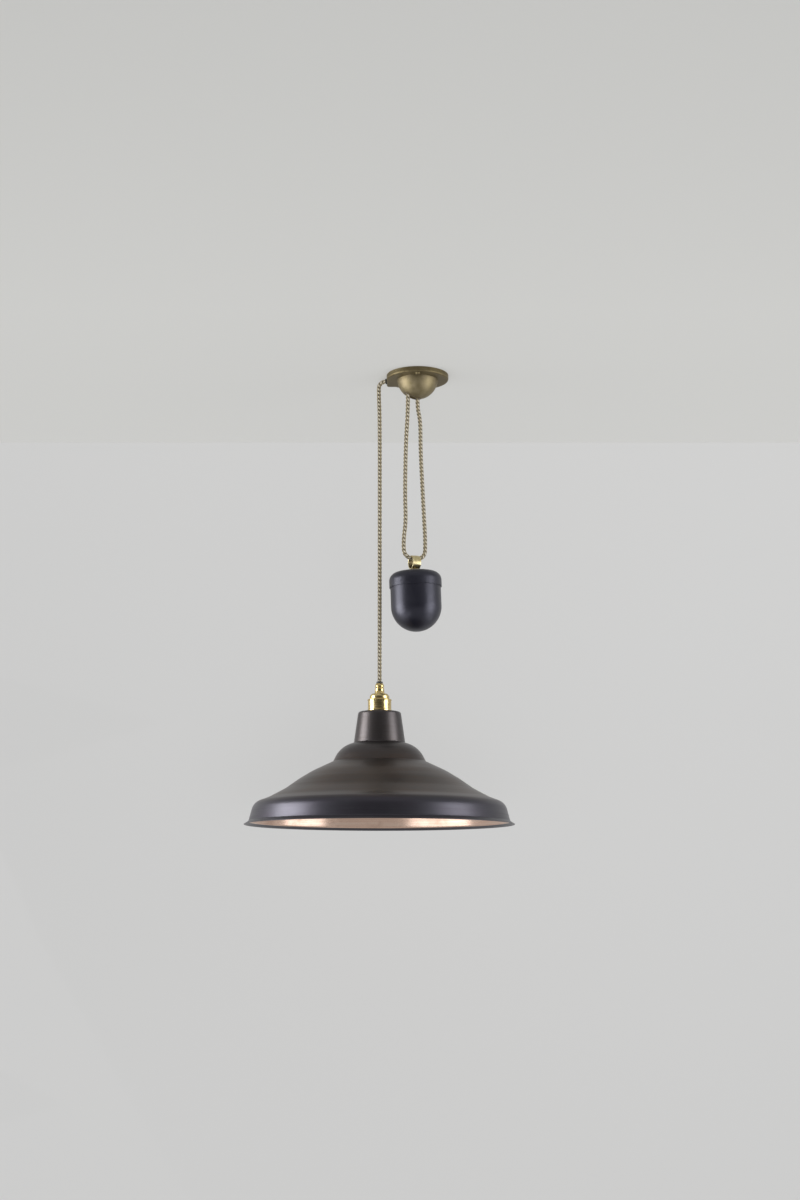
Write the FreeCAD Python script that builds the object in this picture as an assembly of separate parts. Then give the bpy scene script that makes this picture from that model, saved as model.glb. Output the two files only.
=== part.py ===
import FreeCAD, Part

import math
import os

# Rise and fall pendant. Millimetres, +Z up, +Y away from the viewer.
# The origin is the middle of the ceiling plate, on the ceiling.

# clearances that many fits share, and how far a cutting solid runs past what it cuts
snug = 0.02
thread_play = 0.05
slip = 0.1
screw_play = 0.25
past = 1.0

# cord
cord_d = 6.4
cord_play = 0.35

# ceiling plate: a shallow cast pan with one squared corner where the lamp's cord leaves
plate_r = 49.75
plate_h = 8.2
plate_floor = 2.4
plate_wall = 3.0
plate_edge_round = 2.5
corner_y = 35.0
corner_round = 3.6

# dome under the plate
dome_r = 33.0
dome_wall = 2.5
dome_centre_z = -4.5
dome_flange_w = 3.8
dome_flange_t = 1.5
dome_play = 0.15
slot_half_w = 5.0
slot_liner_t = 1.0
slot_lip_w = 1.1
slot_lip_t = 0.8

# screws that hold the plate to the ceiling
fixing_pitch_r = 42.0
fixing_shank_d = 4.5
fixing_thread_d = 4.0
fixing_head_d = 7.8
fixing_head_h = 2.8
fixing_depth = 28.0
fixing_tip_h = 7.0
fixing_tip_r = 0.3
fixing_slot_w = 1.0
fixing_slot_h = 1.2
boss_wall = 2.6
boss_play = 0.2

# sheave and the bracket that carries it
cord_exit_z = -3.8
channel_play = 0.5
heading_deg = 160.2
sheave_pitch_r = 12.0
sheave_w = 9.2
sheave_rim_play = 0.6
sheave_side_play = 0.35
sheave_edge_round = 0.6
sheave_lip = 0.45
axle_d = 5.0
axle_head_d = 7.6
axle_head_t = 1.3
axle_play = 0.05
bracket_t = 1.6
bracket_cord_room = 1.0
cheek_end_r = 5.0
cheek_foot_w = 20.0
feed_hole_r = 3.0
feed_hole_gap = 2.5
bracket_screw_d = 3.0
bracket_screw_head_d = 5.2
bracket_screw_head_t = 1.0
bracket_screw_reach = 34.6
bracket_screw_angles = (-60.0, 20.0, 100.0)
bracket_slot_w = 0.7
bracket_slot_h = 0.5
bracket_hole_floor = 0.8

# bush where the lamp's cord leaves the plate
exit_bush_wall = 0.6
exit_bush_lip_w = 0.7
exit_bush_lip_t = 1.0
exit_bush_back = 1.0
exit_bend_r = 11.0

# the weight's cord: where its two strands pass the slot, and where they meet the eye
anchor_x = -15.5
anchor_y = -6.5
strand_spread = 33.0
strand_skew_deg = 23.0
loop_shift_x = 2.8
loop_shift_y = 2.2
turn_r = 13.0
turn_straight = 2.0

# clamp on the fixed end of the cord, and the terminals
clamp_h = 6.5
clamp_t = 1.2
clamp_ear_w = 5.8
clamp_z = -14.0
clamp_screw_d = 2.4
clamp_screw_head_d = 4.2
clamp_screw_head_t = 1.5
sheath_past_clamp = 1.4
tail_low_turn = 9.0
tail_high_turn = 3.0
terminal_w = 20.0
terminal_l = 13.0
terminal_h = 10.0
terminal_u = 15.5
terminal_count = 3
terminal_bore_d = 3.8
terminal_bore_h = 5.5
terminal_screw_d = 2.9
terminal_screw_h = 1.2
terminal_screw_sunk = 0.3

# weight
eye_top_z = -292.0
eye_r = 10.75
eye_wall = 2.0
eye_w = 14.0
eye_edge_round = 0.8
eye_neck_r = 4.2
eye_neck_h = 2.2
eye_stud_r = 3.0
eye_stud_l = 22.0
stud_room = 2.0
eye_nut_af = 12.0
eye_nut_h = 4.8
weight_lean_deg = 2.0
lid_h = 25.0
lid_crown = 1.2
lid_shoulder_r = 13.5
lid_wall = 4.0
lid_skirt_t = 1.2
lid_lap_play = 0.3
lid_seat_r = 8.4
lid_edge_round = 0.5
body_r = 40.5
body_below_lid = 71.0
body_wall = 7.0
body_lip_play = 0.5
body_edge_round = 0.8
body_boss_r = 9.0
boss_fillet = 3.0
boss_foot_gap = 1.0
ballast_below_lip = 1.0

# lampholder, from the top down
lamp_drop = 494.0
grip_bush_r = 5.2
grip_bush_h = 2.8
grip_bush_wall = 1.5
grip_bush_depth = 12.0
grip_bush_round = 1.2
grip_nut_r = 7.6
grip_nut_foot_r = 7.1
grip_nut_belly_h = 2.7
grip_nut_neck_r = 7.5
grip_nut_neck_h = 5.5
grip_nut_top_r = 6.2
grip_nut_round = 3.0
grip_nut_h = 7.8
cap_neck_r = 7.4
cap_neck_h = 8.4
cap_waist_r = 7.5
cap_waist_h = 2.5
cap_flare_r = 9.0
cap_crown_r = 13.2
cap_crown_round = 5.5
cap_shoulder_r = 15.6
cap_shoulder_h = 9.8
holder_wall = 1.2
collar_r = 19.5
collar_h = 19.2
collar_round = 1.2
collar_foot_h = 3.0
collar_edge_round = 0.5
barrel_r = 14.0
barrel_bore_r = 11.3
barrel_below_seat = 19.0
barrel_bead_h = 1.6
barrel_mouth_r = 13.6
slot_w = 2.8
slot_rise = 6.0
slot_turn_deg = 22.0
barrel_step = 0.3
insert_h = 11.0
insert_play = 0.1
insert_skirt_t = 1.0
insert_step = 2.2
insert_foot_gap = 0.6
cord_end_gap = 3.0
plunger_r = 2.3
plunger_flange_r = 2.95
plunger_flange_t = 1.0
plunger_tip_round = 1.6
plunger_pitch = 9.0
plunger_out = 6.0
plunger_play = 0.08
post_t = 1.5
post_r = 2.1
post_h = 4.5
post_hole_d = 2.0
spring_wire = 0.45
spring_turns = 4
nut_ring_r = 18.2
nut_ring_h = 5.5
nut_ring_foot_r = 16.7
nut_ring_foot_h = 1.5
nut_ring_flutes = 12
nut_flute_r = 1.4
nut_flute_out = 0.6
nut_flute_below = 1.2

# shade, spun from one sheet; heights are above the rim
sheet_t = 0.8
shade_seat_w = 1.5
shade_hole_play = 0.3
shade_h = 182.0
shade_rim_r = 216.4
shade_lip_r = 209.9
shade_lip_h = 4.1
shade_corner_r = 201.0
shade_corner_h = 33.8
shade_corner_round = 24.0
shade_sweep_r = 177.5
shade_sweep_h = 42.0
shade_sweep_round = 60.0
shade_crease_r = 73.4
shade_crease_h = 102.4
shade_dome_r = 66.6
shade_dome_h = 125.6
shade_dome_round = 41.0
shade_neck_low_r = 41.1
shade_neck_low_h = 132.6
shade_neck_top_r = 34.2
shade_neck_top_round = 4.5
shade_top_crown = 1.0


def vec(x, y, z=0.0):
    return FreeCAD.Vector(x, y, z)


UP = vec(0, 0, 1)
ORIGIN = vec(0, 0, 0)

# the cord's plane: from the drop over the sheave towards the lamp, and square to it
heading = math.radians(heading_deg)
toward_lamp = vec(math.cos(heading), math.sin(heading))
across = UP.cross(toward_lamp)
skew = math.radians(strand_skew_deg)
along_eye = vec(math.cos(skew), math.sin(skew))

cord_r = cord_d / 2
sheave_centre = toward_lamp * sheave_pitch_r + UP * (cord_exit_z - sheave_pitch_r)
sheave_rim_r = sheave_pitch_r + sheave_rim_play
cheek_v = sheave_w / 2 + sheave_side_play
boss_r = fixing_shank_d / 2 + screw_play + boss_wall
floor_z = -plate_h + plate_floor
flange_top_z = floor_z + dome_flange_t
bracket_top_z = flange_top_z + bracket_t
anchor = vec(anchor_x, anchor_y)

exit_y = plate_r * math.tan(math.pi - heading)
exit_reach = math.hypot(plate_r, exit_y)
bush_back = exit_reach - plate_wall - exit_bush_back
bush_face = exit_reach + exit_bush_lip_t
lamp_axis = toward_lamp * (bush_face + exit_bend_r)
bend_foot_z = cord_exit_z - exit_bend_r

# heights down the lamp
nut_top_z = -lamp_drop - grip_bush_h
cap_top_z = nut_top_z - grip_nut_h
collar_top_z = cap_top_z - cap_neck_h - cap_shoulder_h
seat_z = collar_top_z - collar_h
rim_z = seat_z - shade_h

# heights down the weight
eye_centre_z = eye_top_z - eye_r
strand_foot_z = eye_top_z - eye_wall - cord_play - cord_r
lid_top_z = eye_centre_z - eye_r - eye_neck_h - eye_nut_h
lid_r = body_r + lid_lap_play + lid_skirt_t
lid_low_z = lid_top_z - lid_h
body_low_z = lid_low_z - body_below_lid


def rounded(corners, closed=True):
    """A wire in the XZ plane through corners of (radius or x, z, rounding)."""
    points = [vec(c[0], 0, c[1]) for c in corners]
    count = len(points)
    runs = [(points[(i + 1) % count] - points[i]).Length for i in range(count)]
    halves = []
    reaches = []
    for i, corner in enumerate(corners):
        back = (points[i - 1] - points[i]).normalize()
        ahead = (points[(i + 1) % count] - points[i]).normalize()
        halves.append(math.acos(max(-1.0, min(1.0, back.dot(ahead)))) / 2)
        reaches.append(corner[2] / math.tan(halves[i]))
    if not closed:
        reaches[0] = 0.0
        reaches[-1] = 0.0
    for i, run in enumerate(runs):
        j = (i + 1) % count
        share = run / max(run, reaches[i] + reaches[j])
        reaches[i] *= share
        reaches[j] *= share
    cuts = []
    for i in range(count):
        if reaches[i] < 1e-6:
            cuts.append(None)
            continue
        back = (points[i - 1] - points[i]).normalize()
        ahead = (points[(i + 1) % count] - points[i]).normalize()
        radius = reaches[i] * math.tan(halves[i])
        middle = (back + ahead).normalize() * (radius / math.sin(halves[i]) - radius)
        start = points[i] + back * reaches[i]
        end = points[i] + ahead * reaches[i]
        cuts.append((start, points[i] + middle, end))
    edges = []
    for i in range(count if closed else count - 1):
        j = (i + 1) % count
        start = cuts[i][2] if cuts[i] else points[i]
        end = cuts[j][0] if cuts[j] else points[j]
        if (end - start).Length > 1e-6:
            edges.append(Part.LineSegment(start, end).toShape())
        if cuts[j]:
            edges.append(Part.Arc(*cuts[j]).toShape())
    return Part.Wire(edges)


def turned(corners, place=ORIGIN):
    """A solid turned about the vertical line through place."""
    solid = Part.Face(rounded(corners)).revolve(ORIGIN, UP, 360)
    return placed(Part.Solid(solid) if solid.ShapeType != "Solid" else solid, place)


def placed(shape, place, turn_deg=0.0, axis=UP):
    moved = shape.copy()
    if turn_deg:
        moved.rotate(ORIGIN, axis, turn_deg)
    moved.translate(place)
    return moved


def rod(radius, start, end):
    return Part.makeCylinder(radius, (end - start).Length, start, end - start)


def tube(outer, inner, start, end):
    return rod(outer, start, end).cut(rod(inner, start - (end - start), end + (end - start)))


def block(length, width, low_z, high_z, along, middle):
    """A box standing at middle, its length in the direction along."""
    box = Part.makeBox(length, width, high_z - low_z, vec(-length / 2, -width / 2, low_z))
    return placed(box, middle, math.degrees(math.atan2(along.y, along.x)))


def stadium(start, end, radius, low_z, high_z):
    """An upright prism round two points."""
    middle = (start + end) * 0.5
    span = (end - start).Length
    solid = block(span, 2 * radius, low_z, high_z, end - start, vec(middle.x, middle.y))
    for point in (start, end):
        post = rod(radius, vec(point.x, point.y, low_z), vec(point.x, point.y, high_z))
        solid = solid.fuse(post)
    return solid.removeSplitter()


def group(solids):
    return Part.makeCompound(solids)


def save(shape, name):
    shape.exportStep(f"parts/{name}.step")


# ---- cord paths


def cord_wire(points, radii=None):
    """Straight runs joined by tangent arcs; radii gives the arcs that a thing sets."""
    runs = [(b - a).Length for a, b in zip(points, points[1:])]
    edges = []
    here = points[0]
    found = []
    for i in range(1, len(points) - 1):
        back = (points[i - 1] - points[i]).normalize()
        ahead = (points[i + 1] - points[i]).normalize()
        half = math.acos(max(-1.0, min(1.0, back.dot(ahead)))) / 2
        radius = 0.45 * min(runs[i - 1], runs[i]) * math.tan(half)
        if radii:
            radius = radii[i - 1]
        reach = radius / math.tan(half)
        middle = (back + ahead).normalize() * (radius / math.sin(half) - radius)
        start = points[i] + back * reach
        end = points[i] + ahead * reach
        edges.append(Part.LineSegment(here, start).toShape())
        edges.append(Part.Arc(start, points[i] + middle, end).toShape())
        here = end
        found.append(round(radius, 1))
    edges.append(Part.LineSegment(here, points[-1]).toShape())
    return Part.Wire(edges), found


def cord_tube(name, points, radii=None, diameter=cord_d):
    wire, found = cord_wire(points, radii)
    start = (points[1] - points[0]).normalize()
    section = Part.Wire(Part.Circle(points[0], start, diameter / 2).toShape())
    solid = wire.makePipeShell([section], True, True)
    ideal = math.pi * diameter**2 / 4 * wire.Length
    share = solid.Volume / ideal
    print(f"{name}: length {wire.Length:.1f}, radii {found}, volume against length {share:.4f}")
    return solid


# ---- ceiling plate, dome and what they hold


def plate_outline(inset, low_z, high_z):
    """The plate's plan, drawn in by inset, as an upright prism."""
    radius = plate_r - inset
    disc = rod(radius, vec(0, 0, low_z), vec(0, 0, high_z))
    corner = Part.makeBox(radius, corner_y - inset, high_z - low_z, vec(-radius, 0, low_z))
    outline = disc.fuse(corner).removeSplitter()
    upright = [
        e
        for e in outline.Edges
        if len(e.Vertexes) == 2
        and abs(e.Vertexes[0].X - e.Vertexes[1].X) < 1e-6
        and abs(e.Vertexes[0].Y - e.Vertexes[1].Y) < 1e-6
        and e.Vertexes[0].Y > corner_y - inset - slip
    ]
    return outline.makeFillet(max(corner_round - inset, 0.8), upright)


def cord_channel(clear):
    """The way that the lamp's cord takes out of the dome, over the plate's floor."""
    low_z = cord_exit_z - cord_r - clear
    start = sheave_pitch_r
    end = exit_reach + past
    middle = toward_lamp * ((start + end) / 2)
    return block(end - start, cord_d + 2 * clear, low_z, past, toward_lamp, middle)


def fixing_places():
    return [vec(0, side * fixing_pitch_r) for side in (-1, 1)]


def bracket_screw_places():
    return [
        vec(math.cos(math.radians(a)), math.sin(math.radians(a))) * bracket_screw_reach
        for a in bracket_screw_angles
    ]


def ceiling_plate():
    outer = plate_outline(0, -plate_h, 0)
    low = [e for e in outer.Edges if e.BoundBox.ZMax < -plate_h + 0.01]
    outer = outer.makeFillet(plate_edge_round, low)
    pan = outer.cut(plate_outline(plate_wall, floor_z, past))
    for place in fixing_places():
        boss = rod(boss_r, place + UP * (floor_z - plate_floor / 2), place)
        pan = pan.fuse(boss)
    mouth_r = math.sqrt(dome_r**2 - (floor_z - dome_centre_z) ** 2) + dome_play
    pan = pan.cut(rod(mouth_r, UP * (-plate_h - past), UP * past))
    for place in fixing_places():
        hole = rod(fixing_shank_d / 2 + screw_play, place - UP * (plate_h + past), place + UP * past)
        pan = pan.cut(hole)
    for place in bracket_screw_places():
        foot = place - UP * (plate_h - bracket_hole_floor)
        pan = pan.cut(rod(bracket_screw_d / 2, foot, place + UP * past))
    pan = pan.cut(cord_channel(channel_play))
    gate = rod(
        cord_r + cord_play + exit_bush_wall + thread_play,
        toward_lamp * bush_back + UP * cord_exit_z,
        toward_lamp * (exit_reach + plate_wall) + UP * cord_exit_z,
    )
    return pan.cut(gate)


def slot_ends():
    return anchor, ORIGIN


def dome_cover():
    centre = vec(0, 0, dome_centre_z)
    shell = Part.makeSphere(dome_r, centre).cut(Part.makeSphere(dome_r - dome_wall, centre))
    room = Part.makeBox(4 * dome_r, 4 * dome_r, 2 * dome_r, vec(-2 * dome_r, -2 * dome_r, flange_top_z))
    shell = shell.cut(room)
    inner_r = math.sqrt((dome_r - dome_wall) ** 2 - (flange_top_z - dome_centre_z) ** 2)
    flange = tube(dome_r + dome_flange_w, inner_r, vec(0, 0, floor_z), vec(0, 0, flange_top_z))
    dome = shell.fuse(flange).removeSplitter()
    start, end = slot_ends()
    dome = dome.cut(stadium(start, end, slot_half_w, -2 * dome_r, dome_centre_z - dome_r / 2))
    for place in bracket_screw_places():
        dome = dome.cut(rod(bracket_screw_d / 2 + screw_play, place - UP * plate_h, place))
    for place in fixing_places():
        dome = dome.cut(rod(boss_r + boss_play, place - UP * plate_h, place))
    return dome.cut(cord_channel(channel_play))


def slot_liner():
    """A curved liner in the dome's slot, with a lip outside it."""
    start, end = slot_ends()
    centre = vec(0, 0, dome_centre_z)
    low_z = dome_centre_z - 2 * dome_r
    high_z = dome_centre_z - dome_r / 2
    bore_r = slot_half_w - slot_liner_t
    outside = Part.makeSphere(dome_r + slot_lip_t, centre)
    inside = Part.makeSphere(dome_r - dome_wall - slot_lip_t, centre)
    liner = stadium(start, end, slot_half_w - thread_play, low_z, high_z).common(outside).cut(inside)
    lip = stadium(start, end, slot_half_w + slot_lip_w, low_z, high_z).common(outside)
    lip = lip.cut(Part.makeSphere(dome_r, centre))
    bore = stadium(start, end, bore_r, low_z - past, high_z + past)
    return liner.fuse(lip).cut(bore).removeSplitter()


def driver_slot(head_d, width, low_z, high_z):
    """The cut across a screw's head."""
    return Part.makeBox(head_d, width, high_z - low_z, vec(-head_d / 2, -width / 2, low_z))


def fixing_screw(place):
    """A slotted round-head wood screw, driven up through the plate; its thread is left plain."""
    head_z = -plate_h
    low_z = head_z - fixing_head_h
    shank_r = fixing_shank_d / 2
    thread_r = fixing_thread_d / 2
    outline = [
        (0, low_z, 0),
        (fixing_head_d / 2, low_z, fixing_head_h - slip),
        (fixing_head_d / 2, head_z, 0),
        (shank_r, head_z, 0),
        (shank_r, 0, 0),
        (thread_r, 0, 0),
        (thread_r, fixing_depth - fixing_tip_h, 0),
        (fixing_tip_r, fixing_depth, 0),
        (0, fixing_depth, 0),
    ]
    slot = driver_slot(fixing_head_d, fixing_slot_w, low_z, low_z + fixing_slot_h)
    return placed(turned(outline).cut(slot), place)


def pulley_bracket():
    """A pressed ring on the dome's flange, with two cheeks folded down beside the sheave."""
    outer_r = dome_r + dome_flange_w
    ring = rod(outer_r, vec(0, 0, flange_top_z), vec(0, 0, bracket_top_z))
    low_z = flange_top_z - past
    high_z = bracket_top_z + past
    way_r = cord_r + bracket_cord_room
    window_l = outer_r + past + way_r
    middle = toward_lamp * (window_l / 2 - way_r)
    ring = ring.cut(block(window_l, 2 * cheek_v, low_z, high_z, toward_lamp, middle))
    for side in (-1, 1):
        middle = toward_lamp * sheave_pitch_r + across * (side * (cheek_v + bracket_t / 2))
        cheek = block(cheek_foot_w, bracket_t, sheave_centre.z, flange_top_z, toward_lamp, middle)
        taper = rod(
            cheek_end_r,
            sheave_centre + across * (side * cheek_v),
            sheave_centre + across * (side * (cheek_v + bracket_t)),
        )
        ring = ring.fuse(cheek).fuse(taper)
    ring = ring.cut(
        rod(axle_d / 2, sheave_centre - across * (3 * cheek_v), sheave_centre + across * (3 * cheek_v))
    )
    for place in bracket_screw_places():
        ring = ring.cut(rod(bracket_screw_d / 2 + screw_play, place - UP * plate_h, place))
    for place in clamp_screw_places():
        ring = ring.cut(rod(clamp_screw_d / 2, place - across * (bracket_t + past), place + across * past))
    for place in fixing_places():
        ring = ring.cut(rod(boss_r + boss_play, place - UP * plate_h, place))
    feed = toward_lamp * -(terminal_u + terminal_l / 2 + feed_hole_gap)
    return ring.cut(rod(feed_hole_r, feed + UP * low_z, feed + UP * high_z)).removeSplitter()


def bracket_screw(place):
    low = place - UP * (plate_h - bracket_hole_floor - slip)
    top_z = bracket_top_z + bracket_screw_head_t
    shank = rod(bracket_screw_d / 2 - snug, low, place + UP * bracket_top_z)
    head = rod(bracket_screw_head_d / 2, place + UP * bracket_top_z, place + UP * top_z)
    slot = driver_slot(bracket_screw_head_d, bracket_slot_w, top_z - bracket_slot_h, top_z)
    return shank.fuse(head).cut(placed(slot, place))


def sheave_axle():
    """A headed pin through both cheeks, riveted flush on the clamp's side."""
    outer = cheek_v + bracket_t
    pin = rod(axle_d / 2, sheave_centre + across * outer, sheave_centre - across * outer)
    head = rod(
        axle_head_d / 2,
        sheave_centre - across * outer,
        sheave_centre - across * (outer + axle_head_t),
    )
    return pin.fuse(head)


def sheave():
    half = sheave_w / 2
    groove_r = sheave_pitch_r - cord_r
    groove_round = cord_r - thread_play
    bore_r = axle_d / 2 + axle_play
    outline = [
        (bore_r, -half, 0),
        (sheave_rim_r, -half, sheave_edge_round),
        (sheave_rim_r, -cord_r - sheave_lip, 0),
        (groove_r, -cord_r, groove_round),
        (groove_r, cord_r, groove_round),
        (sheave_rim_r, cord_r + sheave_lip, 0),
        (sheave_rim_r, half, sheave_edge_round),
        (bore_r, half, 0),
    ]
    wheel = turned(outline)
    tilt = FreeCAD.Rotation(UP, across)
    wheel.Placement = FreeCAD.Placement(sheave_centre, tilt)
    return wheel


def exit_bush():
    """The sleeve in the plate's side, with a lip outside, flush with the plate above and below."""
    bore_r = cord_r + slip
    outer_r = cord_r + cord_play + exit_bush_wall
    level = UP * cord_exit_z
    sleeve = rod(outer_r, toward_lamp * bush_back + level, toward_lamp * bush_face + level)
    lip = rod(
        outer_r + exit_bush_lip_w,
        toward_lamp * (bush_face - exit_bush_lip_t) + level,
        toward_lamp * bush_face + level,
    )
    bush = sleeve.fuse(lip.cut(plate_outline(0, -plate_h, 0)))
    bush = bush.cut(rod(bore_r, level, toward_lamp * (2 * exit_reach) + level))
    above = Part.makeBox(plate_r, plate_r, plate_r, vec(-1.5 * plate_r, 0, -slip))
    below = Part.makeBox(plate_r, plate_r, plate_r, vec(-1.5 * plate_r, 0, -plate_r - plate_h + slip))
    return bush.cut(above).cut(below)


def cord_over_sheave():
    """The cord from the top of the slot, over the sheave, to the bush's outer face."""
    foot = vec(0, 0, dome_centre_z - dome_r)
    corner = vec(0, 0, cord_exit_z)
    end = toward_lamp * bush_face + UP * cord_exit_z
    return cord_tube("cord over sheave", [foot, corner, end], [sheave_pitch_r])


def anchor_levels():
    slot_z = dome_centre_z - math.sqrt(dome_r**2 - anchor.Length**2)
    clamp_low = clamp_z - clamp_h / 2
    clamp_top = clamp_z + clamp_h / 2
    return slot_z, clamp_low, clamp_top


def clamp_point():
    """Where the fixed end lies against the bracket's cheek."""
    along = anchor.dot(toward_lamp)
    return toward_lamp * along + across * (cheek_v + bracket_t + cord_r + snug)


def cord_tail():
    slot_z, clamp_low, clamp_top = anchor_levels()
    held = clamp_point()
    points = [
        anchor + UP * slot_z,
        anchor + UP * (clamp_low - tail_low_turn),
        held + UP * (clamp_low - tail_high_turn),
        held + UP * (clamp_top + sheath_past_clamp),
    ]
    return cord_tube("cord tail", points)


def clamp_frame():
    held = clamp_point()
    face = held - across * cord_r
    return held, face


def cord_clamp():
    """A saddle strap over the cord, screwed to the cheek."""
    held, face = clamp_frame()
    low_z = clamp_z - clamp_h / 2
    high_z = clamp_z + clamp_h / 2
    hoop_r = cord_r + thread_play
    hoop = tube(hoop_r + clamp_t, hoop_r, held + UP * low_z, held + UP * high_z)
    behind = block(4 * cord_d, 2 * cord_d, low_z - past, high_z + past, toward_lamp, held - across * cord_d)
    saddle = hoop.cut(behind)
    for side in (-1, 1):
        leg_at = held - across * (cord_r / 2) + toward_lamp * (side * (hoop_r + clamp_t / 2))
        ear_at = face + across * (clamp_t / 2) + toward_lamp * (side * (hoop_r + clamp_ear_w / 2))
        leg = block(clamp_t, cord_r, low_z, high_z, toward_lamp, leg_at)
        ear = block(clamp_ear_w, clamp_t, low_z, high_z, toward_lamp, ear_at)
        saddle = saddle.fuse(leg).fuse(ear)
    for middle in clamp_screw_places():
        saddle = saddle.cut(rod(clamp_screw_d / 2 + slip, middle - across * past, middle + across * cord_d))
    return saddle.removeSplitter()


def clamp_screw_places():
    held, face = clamp_frame()
    reach = cord_r + thread_play + clamp_t + (clamp_ear_w - clamp_t) / 2
    return [face + toward_lamp * (side * reach) + UP * clamp_z for side in (-1, 1)]


def clamp_screw(middle):
    head_foot = middle + across * clamp_t
    shank = rod(clamp_screw_d / 2, middle - across * (bracket_t - slip), head_foot)
    head = rod(clamp_screw_head_d / 2, head_foot, head_foot + across * clamp_screw_head_t)
    return shank.fuse(head)


def terminal_rows():
    pitch = terminal_w / terminal_count
    return [pitch * (i - (terminal_count - 1) / 2) for i in range(terminal_count)]


def terminal_block():
    middle = toward_lamp * -terminal_u
    high_z = flange_top_z
    low_z = high_z - terminal_h
    body = block(terminal_l, terminal_w, low_z, high_z, toward_lamp, middle)
    bore_z = low_z + terminal_bore_h
    for row in terminal_rows():
        place = middle + across * row
        centre = place + UP * bore_z
        bore = rod(terminal_bore_d / 2, centre - toward_lamp * terminal_l, centre + toward_lamp * terminal_l)
        well = rod(terminal_screw_d / 2 + slip, place + UP * (low_z - past), centre)
        body = body.cut(bore).cut(well)
    return body


def terminal_screws():
    middle = toward_lamp * -terminal_u
    low_z = flange_top_z - terminal_h
    found = []
    start_z = low_z + terminal_screw_sunk
    end_z = low_z + terminal_bore_h - terminal_bore_d / 2 + terminal_screw_h
    for row in terminal_rows():
        place = middle + across * row
        found.append(rod(terminal_screw_d / 2, place + UP * start_z, place + UP * end_z))
    return group(found)


# ---- weight


def leaned(shape):
    """The weight hangs a little out of true, about the top of its eye."""
    pivot = vec(loop_middle().x, loop_middle().y, strand_foot_z)
    moved = shape.copy()
    moved.rotate(pivot, vec(0, 1, 0), -weight_lean_deg)
    return moved


def loop_middle():
    return anchor * 0.5 + vec(loop_shift_x, loop_shift_y)


def strand_feet():
    half = strand_spread / 2 / math.cos(skew)
    middle = loop_middle()
    return middle - along_eye * half, middle + along_eye * half


def strand_tops():
    slot_z = anchor_levels()[0]
    return anchor + UP * slot_z, vec(0, 0, dome_centre_z - dome_r)


def turn_top_z():
    return strand_foot_z + turn_r + turn_straight


def weight_strand(side):
    name = ("left strand", "right strand")[side]
    top = strand_tops()[side]
    foot = strand_feet()[side] + UP * turn_top_z()
    wire = Part.Wire(Part.LineSegment(top, foot).toShape())
    section = Part.Wire(Part.Circle(top, UP * -1, cord_r).toShape())
    solid = wire.makePipeShell([section], True, False)
    print(f"{name}: length {wire.Length:.1f}")
    return solid


def weight_turn():
    left, right = strand_feet()
    top = UP * turn_top_z()
    low = UP * strand_foot_z
    points = [left + top, left + low, right + low, right + top]
    return cord_tube("turn through eye", points, [turn_r, turn_r])


def weight_eye():
    """A short tube that the cord passes through, on a neck with a threaded stud."""
    centre = loop_middle() + UP * eye_centre_z
    half = eye_w / 2
    wall = [
        (eye_r - eye_wall, -half, eye_edge_round),
        (eye_r, -half, eye_edge_round),
        (eye_r, half, eye_edge_round),
        (eye_r - eye_wall, half, eye_edge_round),
    ]
    ring = turned(wall)
    ring.Placement = FreeCAD.Placement(centre, FreeCAD.Rotation(UP, along_eye))
    middle = loop_middle()
    neck_foot = middle + UP * (lid_top_z + eye_nut_h)
    neck = rod(eye_neck_r, neck_foot, middle + UP * (eye_centre_z - eye_r + eye_wall / 2))
    stud = rod(eye_stud_r, middle + UP * (lid_top_z - lid_wall - eye_stud_l), neck_foot)
    bore = rod(eye_r - eye_wall, centre - along_eye * half, centre + along_eye * half)
    return ring.fuse(neck.cut(bore)).fuse(stud).removeSplitter()


def eye_nut():
    middle = loop_middle()
    points = [
        vec(math.cos(math.radians(60 * i)), math.sin(math.radians(60 * i))) * (eye_nut_af / math.sqrt(3))
        for i in range(7)
    ]
    prism = Part.Face(Part.makePolygon(points)).extrude(UP * eye_nut_h)
    low = middle + UP * lid_top_z
    bore = rod(eye_stud_r + thread_play, low - UP * past, low + UP * (eye_nut_h + past))
    return placed(prism, low).cut(bore)


def weight_lid():
    crown_z = lid_h
    shoulder_z = lid_h - lid_crown
    inner_r = body_r + lid_lap_play
    hole_r = eye_stud_r + screw_play
    outline = [
        (hole_r, lid_h - lid_wall, 0),
        (hole_r, crown_z, 0),
        (lid_seat_r, crown_z, 0),
        (lid_r, shoulder_z, lid_shoulder_r),
        (lid_r, 0, lid_edge_round),
        (inner_r, 0, 0),
        (inner_r, lid_h - lid_wall, lid_shoulder_r - lid_wall),
    ]
    return turned(outline, loop_middle() + UP * lid_low_z)


def weight_body():
    """A round-ended iron cup with a boss up its middle for the eye's stud."""
    low = body_low_z
    lip = lid_low_z + lid_h - lid_shoulder_r - body_lip_play - low
    seat = lid_low_z + lid_h - lid_wall - low
    inner_r = body_r - body_wall
    hole_r = eye_stud_r + thread_play
    hole_low = seat - eye_stud_l - stud_room
    outline = [
        (0, 0, 0),
        (body_r, 0, body_r),
        (body_r, lip, body_edge_round),
        (inner_r, lip, body_edge_round),
        (inner_r, body_wall, inner_r - body_boss_r - boss_foot_gap),
        (body_boss_r, body_wall, boss_fillet),
        (body_boss_r, seat, 0),
        (hole_r, seat, 0),
        (hole_r, hole_low, 0),
        (0, hole_low, 0),
    ]
    return turned(outline, loop_middle() + UP * low)


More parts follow.
